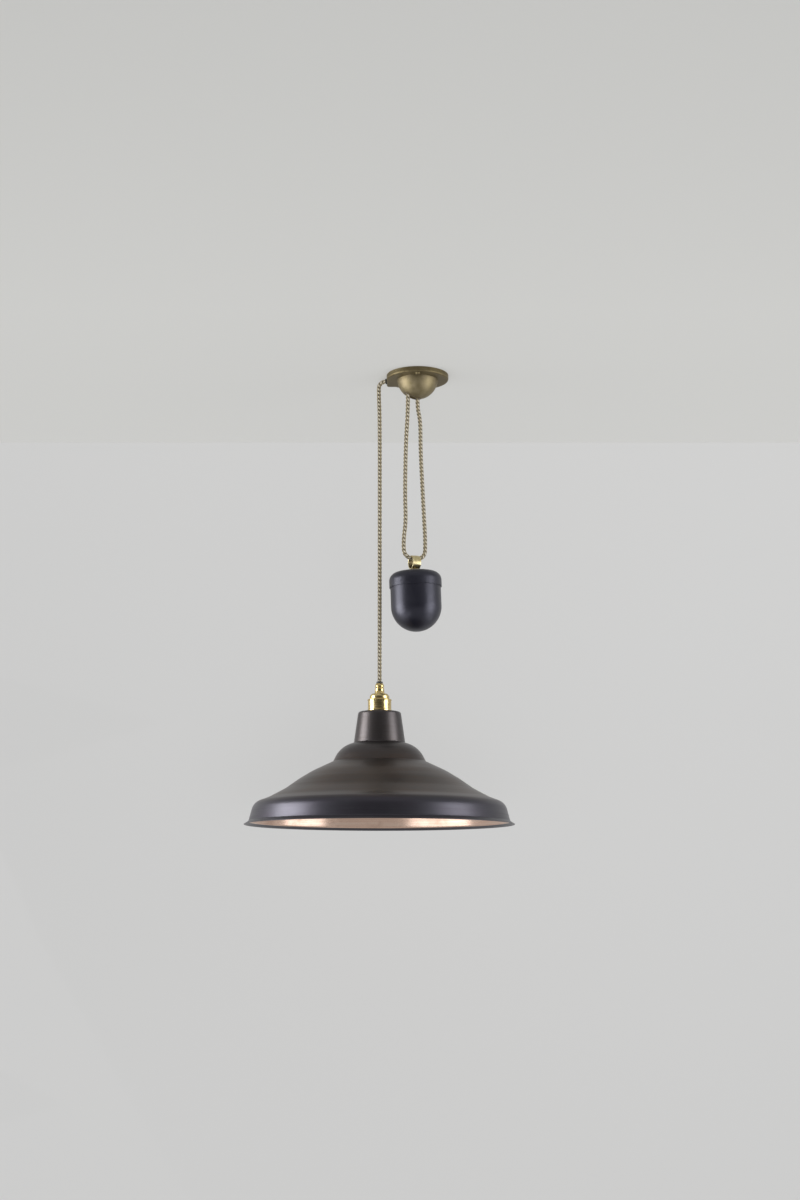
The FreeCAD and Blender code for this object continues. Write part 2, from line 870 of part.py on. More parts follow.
def ballast():
    """Iron cast in round the boss, which fills the cup."""
    low = body_low_z
    top = lid_low_z + lid_h - lid_shoulder_r - body_lip_play - ballast_below_lip - low
    outer_r = body_r - body_wall
    base = body_wall
    outline = [
        (body_boss_r, base, boss_fillet),
        (outer_r, base, outer_r - body_boss_r - boss_foot_gap),
        (outer_r, top, 0),
        (body_boss_r, top, 0),
    ]
    return turned(outline, loop_middle() + UP * low)


# ---- lampholder and shade


def grip_bush():
    bore_r = cord_r + thread_play
    top = -lamp_drop
    outline = [
        (bore_r, top - grip_bush_h - grip_bush_depth, 0),
        (bore_r + grip_bush_wall, top - grip_bush_h - grip_bush_depth, 0),
        (bore_r + grip_bush_wall, top - grip_bush_h, 0),
        (grip_bush_r, top - grip_bush_h, 0),
        (grip_bush_r, top, grip_bush_round),
        (bore_r, top, 0),
    ]
    return turned(outline, lamp_axis)


def grip_nut():
    bore_r = cord_r + grip_bush_wall + slip
    low = cap_top_z
    top = nut_top_z
    outline = [
        (bore_r, low, 0),
        (grip_nut_foot_r, low, 0),
        (grip_nut_r, low + grip_nut_belly_h, grip_nut_round),
        (grip_nut_neck_r, low + grip_nut_neck_h, grip_nut_round),
        (grip_nut_top_r, top, collar_edge_round),
        (bore_r, top, 0),
    ]
    return turned(outline, lamp_axis)


def holder_cap():
    neck_low = cap_top_z - cap_neck_h
    low = collar_top_z
    bore_r = cord_r + grip_bush_wall + slip
    inner_r = cap_shoulder_r - holder_wall
    outline = [
        (bore_r, cap_top_z, 0),
        (cap_neck_r, cap_top_z, collar_edge_round),
        (cap_waist_r, neck_low + cap_waist_h, cap_waist_h),
        (cap_flare_r, neck_low, holder_wall),
        (cap_crown_r, neck_low, cap_crown_round),
        (cap_shoulder_r, low, 0),
        (inner_r, low, 0),
        (cap_crown_r - holder_wall, neck_low - holder_wall, cap_crown_round - holder_wall),
        (bore_r, neck_low - holder_wall, 0),
    ]
    return turned(outline, lamp_axis)


def collar():
    """The wide plain ring that joins the cap to the barrel and bears on the shade."""
    low = seat_z
    top = collar_top_z
    bore_r = barrel_r + thread_play
    outline = [
        (bore_r, low, 0),
        (collar_r, low, collar_edge_round),
        (collar_r, top, collar_round),
        (barrel_bore_r, top, 0),
        (barrel_bore_r, top - holder_wall, 0),
        (collar_r - holder_wall, top - holder_wall, collar_edge_round),
        (collar_r - holder_wall, low + collar_foot_h, collar_edge_round),
        (bore_r, low + collar_foot_h, 0),
    ]
    return turned(outline, lamp_axis)


def barrel_slot(turn_deg):
    """The bayonet's slot: up from the mouth, across, and a short way back."""
    mouth = seat_z - barrel_below_seat
    depth = barrel_r - barrel_bore_r + 2 * past
    start = vec(barrel_bore_r - past, -slot_w / 2, mouth)
    shift = barrel_bore_r * math.tan(math.radians(slot_turn_deg))
    rise = Part.makeBox(depth, slot_w, slot_rise + past, start - UP * past)
    over = Part.makeBox(depth, shift + slot_w, slot_w, start + UP * (slot_rise - slot_w))
    return placed(placed(rise.fuse(over), ORIGIN, turn_deg), lamp_axis)


def bayonet_barrel():
    low = seat_z - barrel_below_seat
    top = collar_top_z - holder_wall
    step_z = insert_levels()[0] - plunger_out - insert_foot_gap
    outline = [
        (barrel_bore_r, low, 0),
        (barrel_mouth_r, low, 0),
        (barrel_r, low + barrel_bead_h, collar_edge_round),
        (barrel_r, top, 0),
        (barrel_bore_r + barrel_step, top, 0),
        (barrel_bore_r + barrel_step, step_z, 0),
        (barrel_bore_r, step_z, 0),
    ]
    barrel = turned(outline, lamp_axis)
    for turn_deg in (90.0, 270.0):
        barrel = barrel.cut(barrel_slot(turn_deg))
    return barrel


def plunger_places():
    return [lamp_axis + vec(side * plunger_pitch / 2, 0) for side in (-1, 1)]


def insert_levels():
    top = collar_top_z - holder_wall
    return top - insert_h, top


def holder_insert():
    """The moulded disc that holds the contacts, with a skirt that stands on the barrel's step."""
    low, top = insert_levels()
    outer_r = barrel_bore_r + barrel_step - insert_play
    body = rod(outer_r, lamp_axis + UP * low, lamp_axis + UP * top)
    foot_z = low - plunger_out - insert_foot_gap
    skirt = tube(outer_r, outer_r - insert_skirt_t, lamp_axis + UP * foot_z, lamp_axis + UP * low)
    body = body.fuse(skirt).removeSplitter()
    for place in plunger_places():
        step = place + UP * (low + insert_step)
        way = rod(plunger_r + plunger_play, place + UP * (low - past), place + UP * top)
        room = rod(plunger_flange_r + plunger_play, step, place + UP * (top + past))
        body = body.cut(way).cut(room)
    return body


def plunger(place):
    """A contact that stands on the step in its bore, and slides up against its spring."""
    low, top = insert_levels()
    foot = low - plunger_out
    step = low + insert_step
    outline = [
        (0, foot, 0),
        (plunger_r, foot, plunger_tip_round),
        (plunger_r, step, 0),
        (plunger_flange_r, step, 0),
        (plunger_flange_r, step + plunger_flange_t, 0),
        (0, step + plunger_flange_t, 0),
    ]
    return turned(outline, place)


def holder_post(place):
    """The terminal post that closes a plunger's bore and takes the core of the cord."""
    top = insert_levels()[1]
    foot = rod(plunger_flange_r + plunger_play - snug, place + UP * (top - post_t), place + UP * top)
    post = rod(post_r, place + UP * top, place + UP * (top + post_h))
    middle = place + UP * (top + post_h / 2)
    hole = rod(post_hole_d / 2, middle - vec(0, 2 * post_r), middle + vec(0, 2 * post_r))
    return foot.fuse(post).cut(hole)


def plunger_spring(place):
    """A coil in the bore above each plunger, between it and the bore's blind end."""
    low, top = insert_levels()
    start = low + insert_step + plunger_flange_t + snug
    end = top - post_t - snug
    coil_r = plunger_r
    pitch = (end - start - spring_wire) / spring_turns
    helix = Part.makeHelix(pitch, pitch * spring_turns, coil_r)
    section = Part.Wire(Part.Circle(vec(coil_r, 0, 0), vec(0, 1, 0), spring_wire / 2).toShape())
    coil = Part.Wire(helix.Edges).makePipeShell([section], True, True)
    return placed(coil, vec(place.x, place.y, start + spring_wire / 2))


def shade_nut():
    """The ring nut on the barrel that clamps the shade up against the collar."""
    top = seat_z - sheet_t
    low = top - nut_ring_h
    bore_r = barrel_r + thread_play
    outline = [
        (bore_r, low, 0),
        (nut_ring_foot_r, low, 0),
        (nut_ring_r, low + nut_ring_foot_h, collar_edge_round),
        (nut_ring_r, top, collar_edge_round),
        (bore_r, top, 0),
    ]
    ring = turned(outline, lamp_axis)
    for i in range(nut_ring_flutes):
        angle = math.tau * i / nut_ring_flutes
        place = lamp_axis + vec(math.cos(angle), math.sin(angle)) * (nut_ring_r + nut_flute_out)
        flute = rod(nut_flute_r, place + UP * (low - past), place + UP * (top - nut_flute_below))
        ring = ring.cut(flute)
    return ring


def shade_profile():
    """The shade's outer line from its lip to the hole in its top."""
    hole_r = barrel_r + shade_hole_play
    return [
        (shade_rim_r, 0, 0),
        (shade_lip_r, shade_lip_h, 2.5),
        (shade_corner_r, shade_corner_h, shade_corner_round),
        (shade_sweep_r, shade_sweep_h, shade_sweep_round),
        (shade_crease_r, shade_crease_h, 1.6),
        (shade_dome_r, shade_dome_h, shade_dome_round),
        (shade_neck_low_r, shade_neck_low_h, 1.6),
        (shade_neck_top_r, shade_h - shade_top_crown, shade_neck_top_round),
        (collar_r + shade_seat_w, shade_h, 0),
        (hole_r, shade_h, 0),
    ]


def shade():
    line = rounded(shade_profile(), closed=False)
    sheet = line.makeOffset2D(sheet_t, 0, True, True)
    solid = sheet.Faces[0].revolve(ORIGIN, UP, 360)
    return placed(solid, lamp_axis + UP * rim_z)


def lamp_cord_bend():
    start = toward_lamp * bush_face + UP * cord_exit_z
    corner = lamp_axis + UP * cord_exit_z
    end = lamp_axis + UP * bend_foot_z
    wire = Part.Wire(Part.Arc(start, arc_middle(start, corner, end), end).toShape())
    section = Part.Wire(Part.Circle(start, toward_lamp, cord_r).toShape())
    solid = wire.makePipeShell([section], True, True)
    print(f"bend out of the plate: length {wire.Length:.1f}, radius {exit_bend_r}")
    return solid


def arc_middle(start, corner, end):
    centre = start + end - corner
    reach = (corner - centre).normalize() * (start - centre).Length
    return centre + reach


def lamp_cord():
    print(f"lamp cord: straight {lamp_drop + bend_foot_z:.1f}")
    return rod(cord_r, lamp_axis + UP * bend_foot_z, lamp_axis - UP * lamp_drop)


def cord_in_grip():
    """The cord's last stretch, inside the grip bush."""
    low = lamp_drop + grip_bush_h + grip_bush_depth + cord_end_gap
    return rod(cord_r, lamp_axis - UP * lamp_drop, lamp_axis - UP * low)


def build():
    os.makedirs("parts", exist_ok=True)
    save(ceiling_plate(), "ceiling_plate")
    save(dome_cover(), "dome_cover")
    save(slot_liner(), "slot_liner")
    save(group([fixing_screw(p) for p in fixing_places()]), "fixing_screws")
    save(pulley_bracket(), "pulley_bracket")
    save(group([bracket_screw(p) for p in bracket_screw_places()]), "bracket_screws")
    save(sheave_axle(), "sheave_axle")
    save(sheave(), "sheave")
    save(exit_bush(), "exit_bush")
    save(cord_over_sheave(), "cord_over_sheave")
    save(cord_tail(), "cord_tail")
    save(cord_clamp(), "cord_clamp")
    save(group([clamp_screw(p) for p in clamp_screw_places()]), "clamp_screws")
    save(terminal_block(), "terminal_block")
    save(terminal_screws(), "terminal_screws")
    save(lamp_cord_bend(), "lamp_cord_bend")
    save(lamp_cord(), "lamp_cord")
    save(weight_strand(0), "weight_cord_left")
    save(weight_strand(1), "weight_cord_right")
    save(weight_turn(), "weight_cord_turn")
    save(leaned(weight_eye()), "weight_eye")
    save(leaned(eye_nut()), "eye_nut")
    save(leaned(weight_lid()), "weight_lid")
    save(leaned(weight_body()), "weight_body")
    save(leaned(ballast()), "ballast")
    save(grip_bush(), "grip_bush")
    save(grip_nut(), "grip_nut")
    save(cord_in_grip(), "cord_in_grip")
    save(holder_cap(), "holder_cap")
    save(collar(), "holder_collar")
    save(bayonet_barrel(), "bayonet_barrel")
    save(holder_insert(), "holder_insert")
    save(group([holder_post(p) for p in plunger_places()]), "holder_posts")
    left, right = plunger_places()
    save(plunger(left), "plunger_left")
    save(plunger(right), "plunger_right")
    save(plunger_spring(left), "plunger_spring_left")
    save(plunger_spring(right), "plunger_spring_right")
    save(shade_nut(), "shade_nut")
    save(shade(), "shade")


build()
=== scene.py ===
import math

import bmesh
import bpy
from mathutils import Matrix, Vector


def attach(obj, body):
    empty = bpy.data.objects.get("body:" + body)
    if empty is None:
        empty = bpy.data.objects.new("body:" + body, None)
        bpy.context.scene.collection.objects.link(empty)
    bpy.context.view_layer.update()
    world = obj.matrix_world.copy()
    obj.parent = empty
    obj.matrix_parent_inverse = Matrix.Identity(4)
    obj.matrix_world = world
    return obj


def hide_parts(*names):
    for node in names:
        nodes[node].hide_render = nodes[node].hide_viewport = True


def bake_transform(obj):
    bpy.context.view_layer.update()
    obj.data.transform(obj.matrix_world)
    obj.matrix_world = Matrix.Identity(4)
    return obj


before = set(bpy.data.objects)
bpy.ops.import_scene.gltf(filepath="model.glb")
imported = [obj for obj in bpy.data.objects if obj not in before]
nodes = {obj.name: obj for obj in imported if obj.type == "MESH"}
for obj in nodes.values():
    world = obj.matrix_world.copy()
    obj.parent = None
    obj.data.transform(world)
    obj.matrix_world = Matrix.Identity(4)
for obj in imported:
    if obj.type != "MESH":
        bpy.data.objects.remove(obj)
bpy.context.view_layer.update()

scene = bpy.context.scene
print("frame loaded, nodes:", len(nodes))

# the camera stands where the photograph was taken from
camera = {
    "place": (-0.0267, -2.6959, -0.8523),
    "pitchDegrees": 3.80,
    "lensMm": 51.05,
    "sensorMm": 36,   # along the long side
    "shiftX": -0.0008,
    "shiftY": 0.16,   # the lens is risen, so upright lines stay upright
}

cameraData = bpy.data.cameras.new("camera")
cameraData.sensor_width = camera["sensorMm"]
cameraData.lens = camera["lensMm"]
cameraData.shift_x = camera["shiftX"]
cameraData.shift_y = camera["shiftY"]
cameraObject = bpy.data.objects.new("camera", cameraData)
cameraObject.location = camera["place"]
cameraObject.rotation_euler = (math.radians(90 + camera["pitchDegrees"]), 0, 0)
scene.collection.objects.link(cameraObject)
scene.camera = cameraObject


def hexColour(text):
    # sRGB hex to linear
    channels = [int(text[i:i + 2], 16) / 255 for i in (1, 3, 5)]
    return tuple(c / 12.92 if c <= 0.04045 else ((c + 0.055) / 1.055) ** 2.4 for c in channels) + (1.0,)


def addNode(tree, kind, inputs=None, out=None, **settings):
    # inputs: socket name or number -> a value, a "#" colour, or the output to link from
    # out: the output to give back, or None for the node itself
    node = tree.nodes.new(kind)
    for name, value in settings.items():
        setattr(node, name, value)
    for name, value in (inputs or {}).items():
        if isinstance(value, bpy.types.NodeSocket):
            tree.links.new(value, node.inputs[name])
        elif isinstance(value, str) and value.startswith("#"):
            node.inputs[name].default_value = hexColour(value)
        else:
            node.inputs[name].default_value = value
    return node if out is None else node.outputs[out]


def newMaterial(name):
    material = bpy.data.materials.new(name)
    material.use_nodes = True
    material.node_tree.nodes.clear()
    return material, material.node_tree


def withShader(material, inputs):
    # closes a finish: the patterns and values go to the shader, and the shader to the output
    shader = addNode(material.node_tree, "ShaderNodeBsdfPrincipled", inputs, out=0)
    addNode(material.node_tree, "ShaderNodeOutputMaterial", {"Surface": shader})
    return material


def objectSpace(tree, centre=(0, 0, 0)):
    # Object coordinates, moved so that centre is their zero
    place = addNode(tree, "ShaderNodeTexCoord", out="Object")
    return addNode(tree, "ShaderNodeMapping", {"Vector": place, "Location": tuple(-c for c in centre)}, out=0)


def roundAxis(tree, space, alongPerMetre, aroundDetail):
    # a vector that changes fast across a turned piece's tool marks and slowly round its axis
    parts = addNode(tree, "ShaderNodeSeparateXYZ", {0: space})
    flat = addNode(tree, "ShaderNodeCombineXYZ", {0: parts.outputs[0], 1: parts.outputs[1]}, out=0)
    radius = addNode(tree, "ShaderNodeVectorMath", {0: flat}, out="Value", operation="LENGTH")
    unit = addNode(tree, "ShaderNodeVectorMath", {0: flat}, out=0, operation="NORMALIZE")
    around = addNode(tree, "ShaderNodeVectorMath", {0: unit, "Scale": aroundDetail}, out=0, operation="SCALE")
    across = addNode(tree, "ShaderNodeMath", {0: parts.outputs[2], 1: radius}, out=0, operation="SUBTRACT")
    scaled = addNode(tree, "ShaderNodeMath", {0: across, 1: alongPerMetre}, out=0, operation="MULTIPLY")
    level = addNode(tree, "ShaderNodeCombineXYZ", {2: scaled}, out=0)
    return addNode(tree, "ShaderNodeVectorMath", {0: around, 1: level}, out=0, operation="ADD")


def wornEdges(tree, radiusMm, low=0.0, high=0.12):
    # 0 on open faces, 1 on edges, where handling has rubbed the finish
    soft = addNode(tree, "ShaderNodeBevel", {"Radius": radiusMm / 1000}, out=0, samples=6)
    true = addNode(tree, "ShaderNodeNewGeometry", out="Normal")
    same = addNode(tree, "ShaderNodeVectorMath", {0: soft, 1: true}, out="Value", operation="DOT_PRODUCT")
    bent = addNode(tree, "ShaderNodeMath", {0: 1.0, 1: same}, out=0, operation="SUBTRACT")
    return addNode(tree, "ShaderNodeMapRange", {"Value": bent, "From Min": low, "From Max": high}, out=0)


def unevenShine(tree, pattern, between):
    # a roughness that goes between two values as the pattern does
    return addNode(tree, "ShaderNodeMapRange", {
        "Value": pattern, "From Min": 0.3, "From Max": 0.7, "To Min": between[0], "To Max": between[1]}, out=0)


# finishes: a size in mm is that of the grain, ring or cloud, and a depth is how far it stands out of the face

lampAxis = (-0.0610406, 0.0219760, 0)  # the line that the lamp's strand hangs on


def antiquedBrass(name, look):
    # cast brass, chemically aged and brushed back: satin olive gold, with the grain of the casting
    # and the shallow hollows left by fettling it
    material, tree = newMaterial(name)
    space = objectSpace(tree)
    cloud = addNode(tree, "ShaderNodeTexNoise", {
        "Vector": space, "Scale": 1000 / look["cloudMm"], "Detail": 3.0, "Roughness": 0.6}, out="Fac")
    grain = addNode(tree, "ShaderNodeTexNoise", {
        "Vector": space, "Scale": 1000 / look["grainMm"], "Roughness": 0.6}, out="Fac")
    hollow = addNode(tree, "ShaderNodeTexNoise", {"Vector": space, "Scale": 1000 / look["hollowMm"]}, out="Fac")
    pale = addNode(tree, "ShaderNodeMapRange", {"Value": cloud, "From Min": 0.35, "From Max": 0.68}, out=0)
    body = addNode(tree, "ShaderNodeMix", {"Factor": pale, 6: look["olive"], 7: look["pale"]}, out=2, data_type="RGBA")
    speck = addNode(tree, "ShaderNodeMapRange", {
        "Value": grain, "From Min": 0.58, "From Max": 0.75, "To Max": 0.5}, out=0)
    specked = addNode(tree, "ShaderNodeMix", {"Factor": speck, 6: body, 7: look["brown"]}, out=2, data_type="RGBA")
    edges = wornEdges(tree, look["edgeMm"])
    colour = addNode(tree, "ShaderNodeMix", {"Factor": edges, 6: specked, 7: look["rubbed"]}, out=2, data_type="RGBA")
    dents = addNode(tree, "ShaderNodeBump", {
        "Height": hollow, "Distance": look["hollowDeepMm"] / 1000, "Strength": 0.5}, out=0)
    return withShader(material, {
        "Base Color": colour,
        "Metallic": 1.0,
        "Roughness": unevenShine(tree, cloud, look["roughness"]),
        "Normal": addNode(tree, "ShaderNodeBump", {
            "Height": grain, "Distance": look["grainDeepMm"] / 1000, "Strength": 0.5, "Normal": dents}, out=0),
    })


def turnedBrass(name, centre, look):
    # brass turned and buffed on a lathe: warm yellow, with the fine rings that the tool left
    material, tree = newMaterial(name)
    space = objectSpace(tree, centre)
    rings = addNode(tree, "ShaderNodeTexNoise", {
        "Vector": roundAxis(tree, space, 1000 / look["ringMm"], 0.6), "Scale": 1.0, "Roughness": 0.6}, out="Fac")
    cloud = addNode(tree, "ShaderNodeTexNoise", {"Vector": space, "Scale": 1000 / look["cloudMm"]}, out="Fac")
    deep = addNode(tree, "ShaderNodeMapRange", {"Value": cloud, "From Min": 0.35, "From Max": 0.7}, out=0)
    return withShader(material, {
        "Base Color": addNode(tree, "ShaderNodeMix", {
            "Factor": deep, 6: look["bright"], 7: look["deep"]}, out=2, data_type="RGBA"),
        "Metallic": 1.0,
        "Roughness": unevenShine(tree, rings, look["roughness"]),
        "Normal": addNode(tree, "ShaderNodeBump", {
            "Height": rings, "Distance": look["ringDeepMm"] / 1000, "Strength": 0.35}, out=0),
    })


def bronzedCopper():
    # spun copper, chemically bronzed outside and waxed: charcoal with rings from the spinning tool,
    # browner on the cone and cooler on the skirt, neck and crown. The brown is the patina's own tint;
    # the zones' differing darkness is painted shade and reflection, set to how bright each looks under
    # the room's light, and the skirt's cool tint is painted bluish light
    look = {
        # each zone's pair of colours holds painted shade and reflection in its darkness; the skirt's blue is painted
        # bluish light
        "neck": "#484445", "neckBrown": "#443f3e", "cone": "#403935", "coneBrown": "#483a31",
        "skirt": "#414047", "skirtBrown": "#3e3b43", "rubbed": "#74675f",
        "ringMm": 3.0, "ringDeepMm": 0.05, "fineMm": 0.75, "fineDeepMm": 0.02, "cloudMm": 55, "edgeMm": 1.2,
        "crownFrom": (-0.630, -0.606),  # levels over which the cone's colour turns into the crown's
        "skirtFrom": (-0.682, -0.694),  # and into the skirt's
        "roughness": (0.35, 0.43), "wax": 0.2, "waxRoughness": 0.3,
    }
    material, tree = newMaterial("bronzed copper")
    space = objectSpace(tree, lampAxis)
    rings = addNode(tree, "ShaderNodeTexNoise", {
        "Vector": roundAxis(tree, space, 1000 / look["ringMm"], 1.2),
        "Scale": 1.0, "Detail": 3.0, "Roughness": 0.65}, out="Fac")
    fine = addNode(tree, "ShaderNodeTexNoise", {
        "Vector": roundAxis(tree, space, 1000 / look["fineMm"], 2.5), "Scale": 1.0, "Roughness": 0.6}, out="Fac")
    cloud = addNode(tree, "ShaderNodeTexNoise", {
        "Vector": space, "Scale": 1000 / look["cloudMm"], "Detail": 4.0, "Roughness": 0.6}, out="Fac")
    both = addNode(tree, "ShaderNodeMath", {0: cloud, 1: rings}, out=0, operation="ADD")
    patch = addNode(tree, "ShaderNodeMapRange", {"Value": both, "From Min": 0.85, "From Max": 1.2}, out=0)
    # the zone colours: the patina's tint, with painted shade and reflection in how dark each one is
    cone, neck, skirt = [
        addNode(tree, "ShaderNodeMix", {
            "Factor": patch, 6: look[zone], 7: look[zone + "Brown"]}, out=2, data_type="RGBA")
        for zone in ("cone", "neck", "skirt")]
    level = addNode(tree, "ShaderNodeSeparateXYZ", {0: space}, out=2)
    isCrown, isSkirt = [
        addNode(tree, "ShaderNodeMapRange", {"Value": level, "From Min": start, "From Max": end}, out=0)
        for start, end in (look["crownFrom"], look["skirtFrom"])]
    upper = addNode(tree, "ShaderNodeMix", {"Factor": isCrown, 6: cone, 7: neck}, out=2, data_type="RGBA")
    whole = addNode(tree, "ShaderNodeMix", {"Factor": isSkirt, 6: upper, 7: skirt}, out=2, data_type="RGBA")
    edges = wornEdges(tree, look["edgeMm"], 0.02, 0.25)
    marks = addNode(tree, "ShaderNodeBump", {
        "Height": rings, "Distance": look["ringDeepMm"] / 1000, "Strength": 0.2}, out=0)
    return withShader(material, {
        "Base Color": addNode(tree, "ShaderNodeMix", {
            "Factor": edges, 6: whole, 7: look["rubbed"]}, out=2, data_type="RGBA"),
        "Metallic": 1.0,
        "Coat Weight": look["wax"],
        "Coat Roughness": look["waxRoughness"],
        "Roughness": unevenShine(tree, rings, look["roughness"]),
        "Normal": addNode(tree, "ShaderNodeBump", {
            "Height": fine, "Distance": look["fineDeepMm"] / 1000, "Strength": 0.2, "Normal": marks}, out=0),
    })


def brightCopper():
    # the same sheet inside, left bright: pink copper, streaked by the tool and a little tarnished
    look = {
        "pink": "#d6bdae", "rose": "#c8a896", "brown": "#a68877",
        "ringMm": 2.2, "ringDeepMm": 0.08, "cloudMm": 40, "roughness": (0.16, 0.26),
    }
    material, tree = newMaterial("bright copper")
    space = objectSpace(tree, lampAxis)
    rings = addNode(tree, "ShaderNodeTexNoise", {
        "Vector": roundAxis(tree, space, 1000 / look["ringMm"], 1.5),
        "Scale": 1.0, "Detail": 3.0, "Roughness": 0.65}, out="Fac")
    cloud = addNode(tree, "ShaderNodeTexNoise", {
        "Vector": space, "Scale": 1000 / look["cloudMm"], "Detail": 3.0, "Roughness": 0.6}, out="Fac")
    streak = addNode(tree, "ShaderNodeMapRange", {"Value": rings, "From Min": 0.35, "From Max": 0.7}, out=0)
    body = addNode(tree, "ShaderNodeMix", {"Factor": streak, 6: look["pink"], 7: look["rose"]}, out=2, data_type="RGBA")
    tarnish = addNode(tree, "ShaderNodeMapRange", {
        "Value": cloud, "From Min": 0.5, "From Max": 0.75, "To Max": 0.7}, out=0)
    return withShader(material, {
        "Base Color": addNode(tree, "ShaderNodeMix", {
            "Factor": tarnish, 6: body, 7: look["brown"]}, out=2, data_type="RGBA"),
        "Metallic": 1.0,
        "Roughness": unevenShine(tree, rings, look["roughness"]),
        "Normal": addNode(tree, "ShaderNodeBump", {
            "Height": rings, "Distance": look["ringDeepMm"] / 1000, "Strength": 0.4}, out=0),
    })


def satinPaint():
    # cast iron under stoved satin paint, blue-black: the paint flows over the grain and leaves it soft
    look = {
        "blueBlack": "#181820", "worn": "#292932", "shine": "#dcdcf0", "shineLevel": 0.56,
        "grainMm": 1.1, "grainDeepMm": 0.12, "cloudMm": 22, "edgeMm": 0.8, "roughness": (0.33, 0.42),
    }
    material, tree = newMaterial("satin painted iron")
    space = objectSpace(tree)
    grain = addNode(tree, "ShaderNodeTexNoise", {
        "Vector": space, "Scale": 1000 / look["grainMm"], "Roughness": 0.55}, out="Fac")
    cloud = addNode(tree, "ShaderNodeTexNoise", {
        "Vector": space, "Scale": 1000 / look["cloudMm"], "Detail": 3.0, "Roughness": 0.6}, out="Fac")
    edges = wornEdges(tree, look["edgeMm"], 0.0, 0.2)
    return withShader(material, {
        "Base Color": addNode(tree, "ShaderNodeMix", {
            "Factor": edges, 6: look["blueBlack"], 7: look["worn"]}, out=2, data_type="RGBA"),
        "Specular IOR Level": look["shineLevel"],
        # the blue tint of the paint's reflections is painted bluish light
        "Specular Tint": look["shine"],
        "Roughness": unevenShine(tree, cloud, look["roughness"]),
        "Normal": addNode(tree, "ShaderNodeBump", {
            "Height": grain, "Distance": look["grainDeepMm"] / 1000, "Strength": 0.35}, out=0),
    })


def castIron():
    # raw grey iron from the mould: matt and coarse, with rust in patches; the lid hides it
    look = {
        "grey": "#5a5a5c", "dark": "#3c3b3b", "rust": "#6a4a38",
        "grainMm": 1.6, "grainDeepMm": 0.3, "rustPatchesPerMetre": 60,
    }
    material, tree = newMaterial("raw cast iron")
    space = objectSpace(tree)
    grain = addNode(tree, "ShaderNodeTexNoise", {
        "Vector": space, "Scale": 1000 / look["grainMm"], "Detail": 4.0, "Roughness": 0.65}, out="Fac")
    patch = addNode(tree, "ShaderNodeTexNoise", {
        "Vector": space, "Scale": look["rustPatchesPerMetre"], "Detail": 3.0}, out="Fac")
    rusty = addNode(tree, "ShaderNodeMapRange", {
        "Value": patch, "From Min": 0.6, "From Max": 0.75, "To Max": 0.5}, out=0)
    body = addNode(tree, "ShaderNodeMix", {"Factor": grain, 6: look["dark"], 7: look["grey"]}, out=2, data_type="RGBA")
    return withShader(material, {
        "Base Color": addNode(tree, "ShaderNodeMix", {
            "Factor": rusty, 6: body, 7: look["rust"]}, out=2, data_type="RGBA"),
        "Metallic": 0.6,
        "Roughness": 0.72,
        "Normal": addNode(tree, "ShaderNodeBump", {
            "Height": grain, "Distance": look["grainDeepMm"] / 1000, "Strength": 0.6}, out=0),
    })


def steel(name, look):
    # pressed or drawn steel: bright, with a film that breaks the shine into small clouds and
    # scratches that run along the work
    material, tree = newMaterial(name)
    space = objectSpace(tree)
    cloud = addNode(tree, "ShaderNodeTexNoise", {
        "Vector": space, "Scale": 1000 / look["cloudMm"], "Detail": 3.0, "Roughness": 0.6}, out="Fac")
    drawn = addNode(tree, "ShaderNodeMapping", {"Vector": space, "Scale": (900, 60, 900)}, out=0)
    scratch = addNode(tree, "ShaderNodeTexNoise", {"Vector": drawn, "Scale": 2.0}, out="Fac")
    film = addNode(tree, "ShaderNodeMapRange", {"Value": cloud, "From Min": 0.3, "From Max": 0.7}, out=0)
    return withShader(material, {
        "Base Color": addNode(tree, "ShaderNodeMix", {
            "Factor": film, 6: look["light"], 7: look["dark"]}, out=2, data_type="RGBA"),
        "Metallic": 1.0,
        "Roughness": unevenShine(tree, cloud, look["roughness"]),
        "Normal": addNode(tree, "ShaderNodeBump", {
            "Height": scratch, "Distance": look["scratchDeepMm"] / 1000, "Strength": 0.4}, out=0),
    })


def moulding(name, look):
    # hard plastic from a spark-finished mould: an even fine texture and a soft shine
    material, tree = newMaterial(name)
    space = objectSpace(tree)
    texture = addNode(tree, "ShaderNodeTexNoise", {"Vector": space, "Scale": 1000 / look["textureMm"]}, out="Fac")
    cloud = addNode(tree, "ShaderNodeTexNoise", {"Vector": space, "Scale": look["cloudsPerMetre"]}, out="Fac")
    shadeOfIt = addNode(tree, "ShaderNodeMapRange", {"Value": cloud, "From Min": 0.35, "From Max": 0.65}, out=0)
    return withShader(material, {
        "Base Color": addNode(tree, "ShaderNodeMix", {
            "Factor": shadeOfIt, 6: look["light"], 7: look["dark"]}, out=2, data_type="RGBA"),
        "Roughness": unevenShine(tree, texture, look["roughness"]),
        "Normal": addNode(tree, "ShaderNodeBump", {
            "Height": texture, "Distance": look["textureDeepMm"] / 1000, "Strength": 0.5}, out=0),
    })


# the braid: eight plaits run each way round the cord
braid = {
    "diameter": 0.0064,
    "plaits": 8,          # each way
    "plaitAlong": 0.0031,  # length of cord over which the pattern moves by one plait: a real one is
                           # 2.4 mm, too fine to show, so it is drawn coarser
    "ends": 2,            # yarns side by side in a plait
    "ringStep": 0.00045,
    "aroundCount": 48,
    "relief": 0.00022,    # how far a plait's back stands above the valleys
    "meanHeight": 0.75,   # the share of the relief at which the diameter is measured
    "dip": 0.25,          # how much lower a plait lies beside the one that it crosses
    "routeSteps": 24,     # points of the smooth route between two of its corners
}


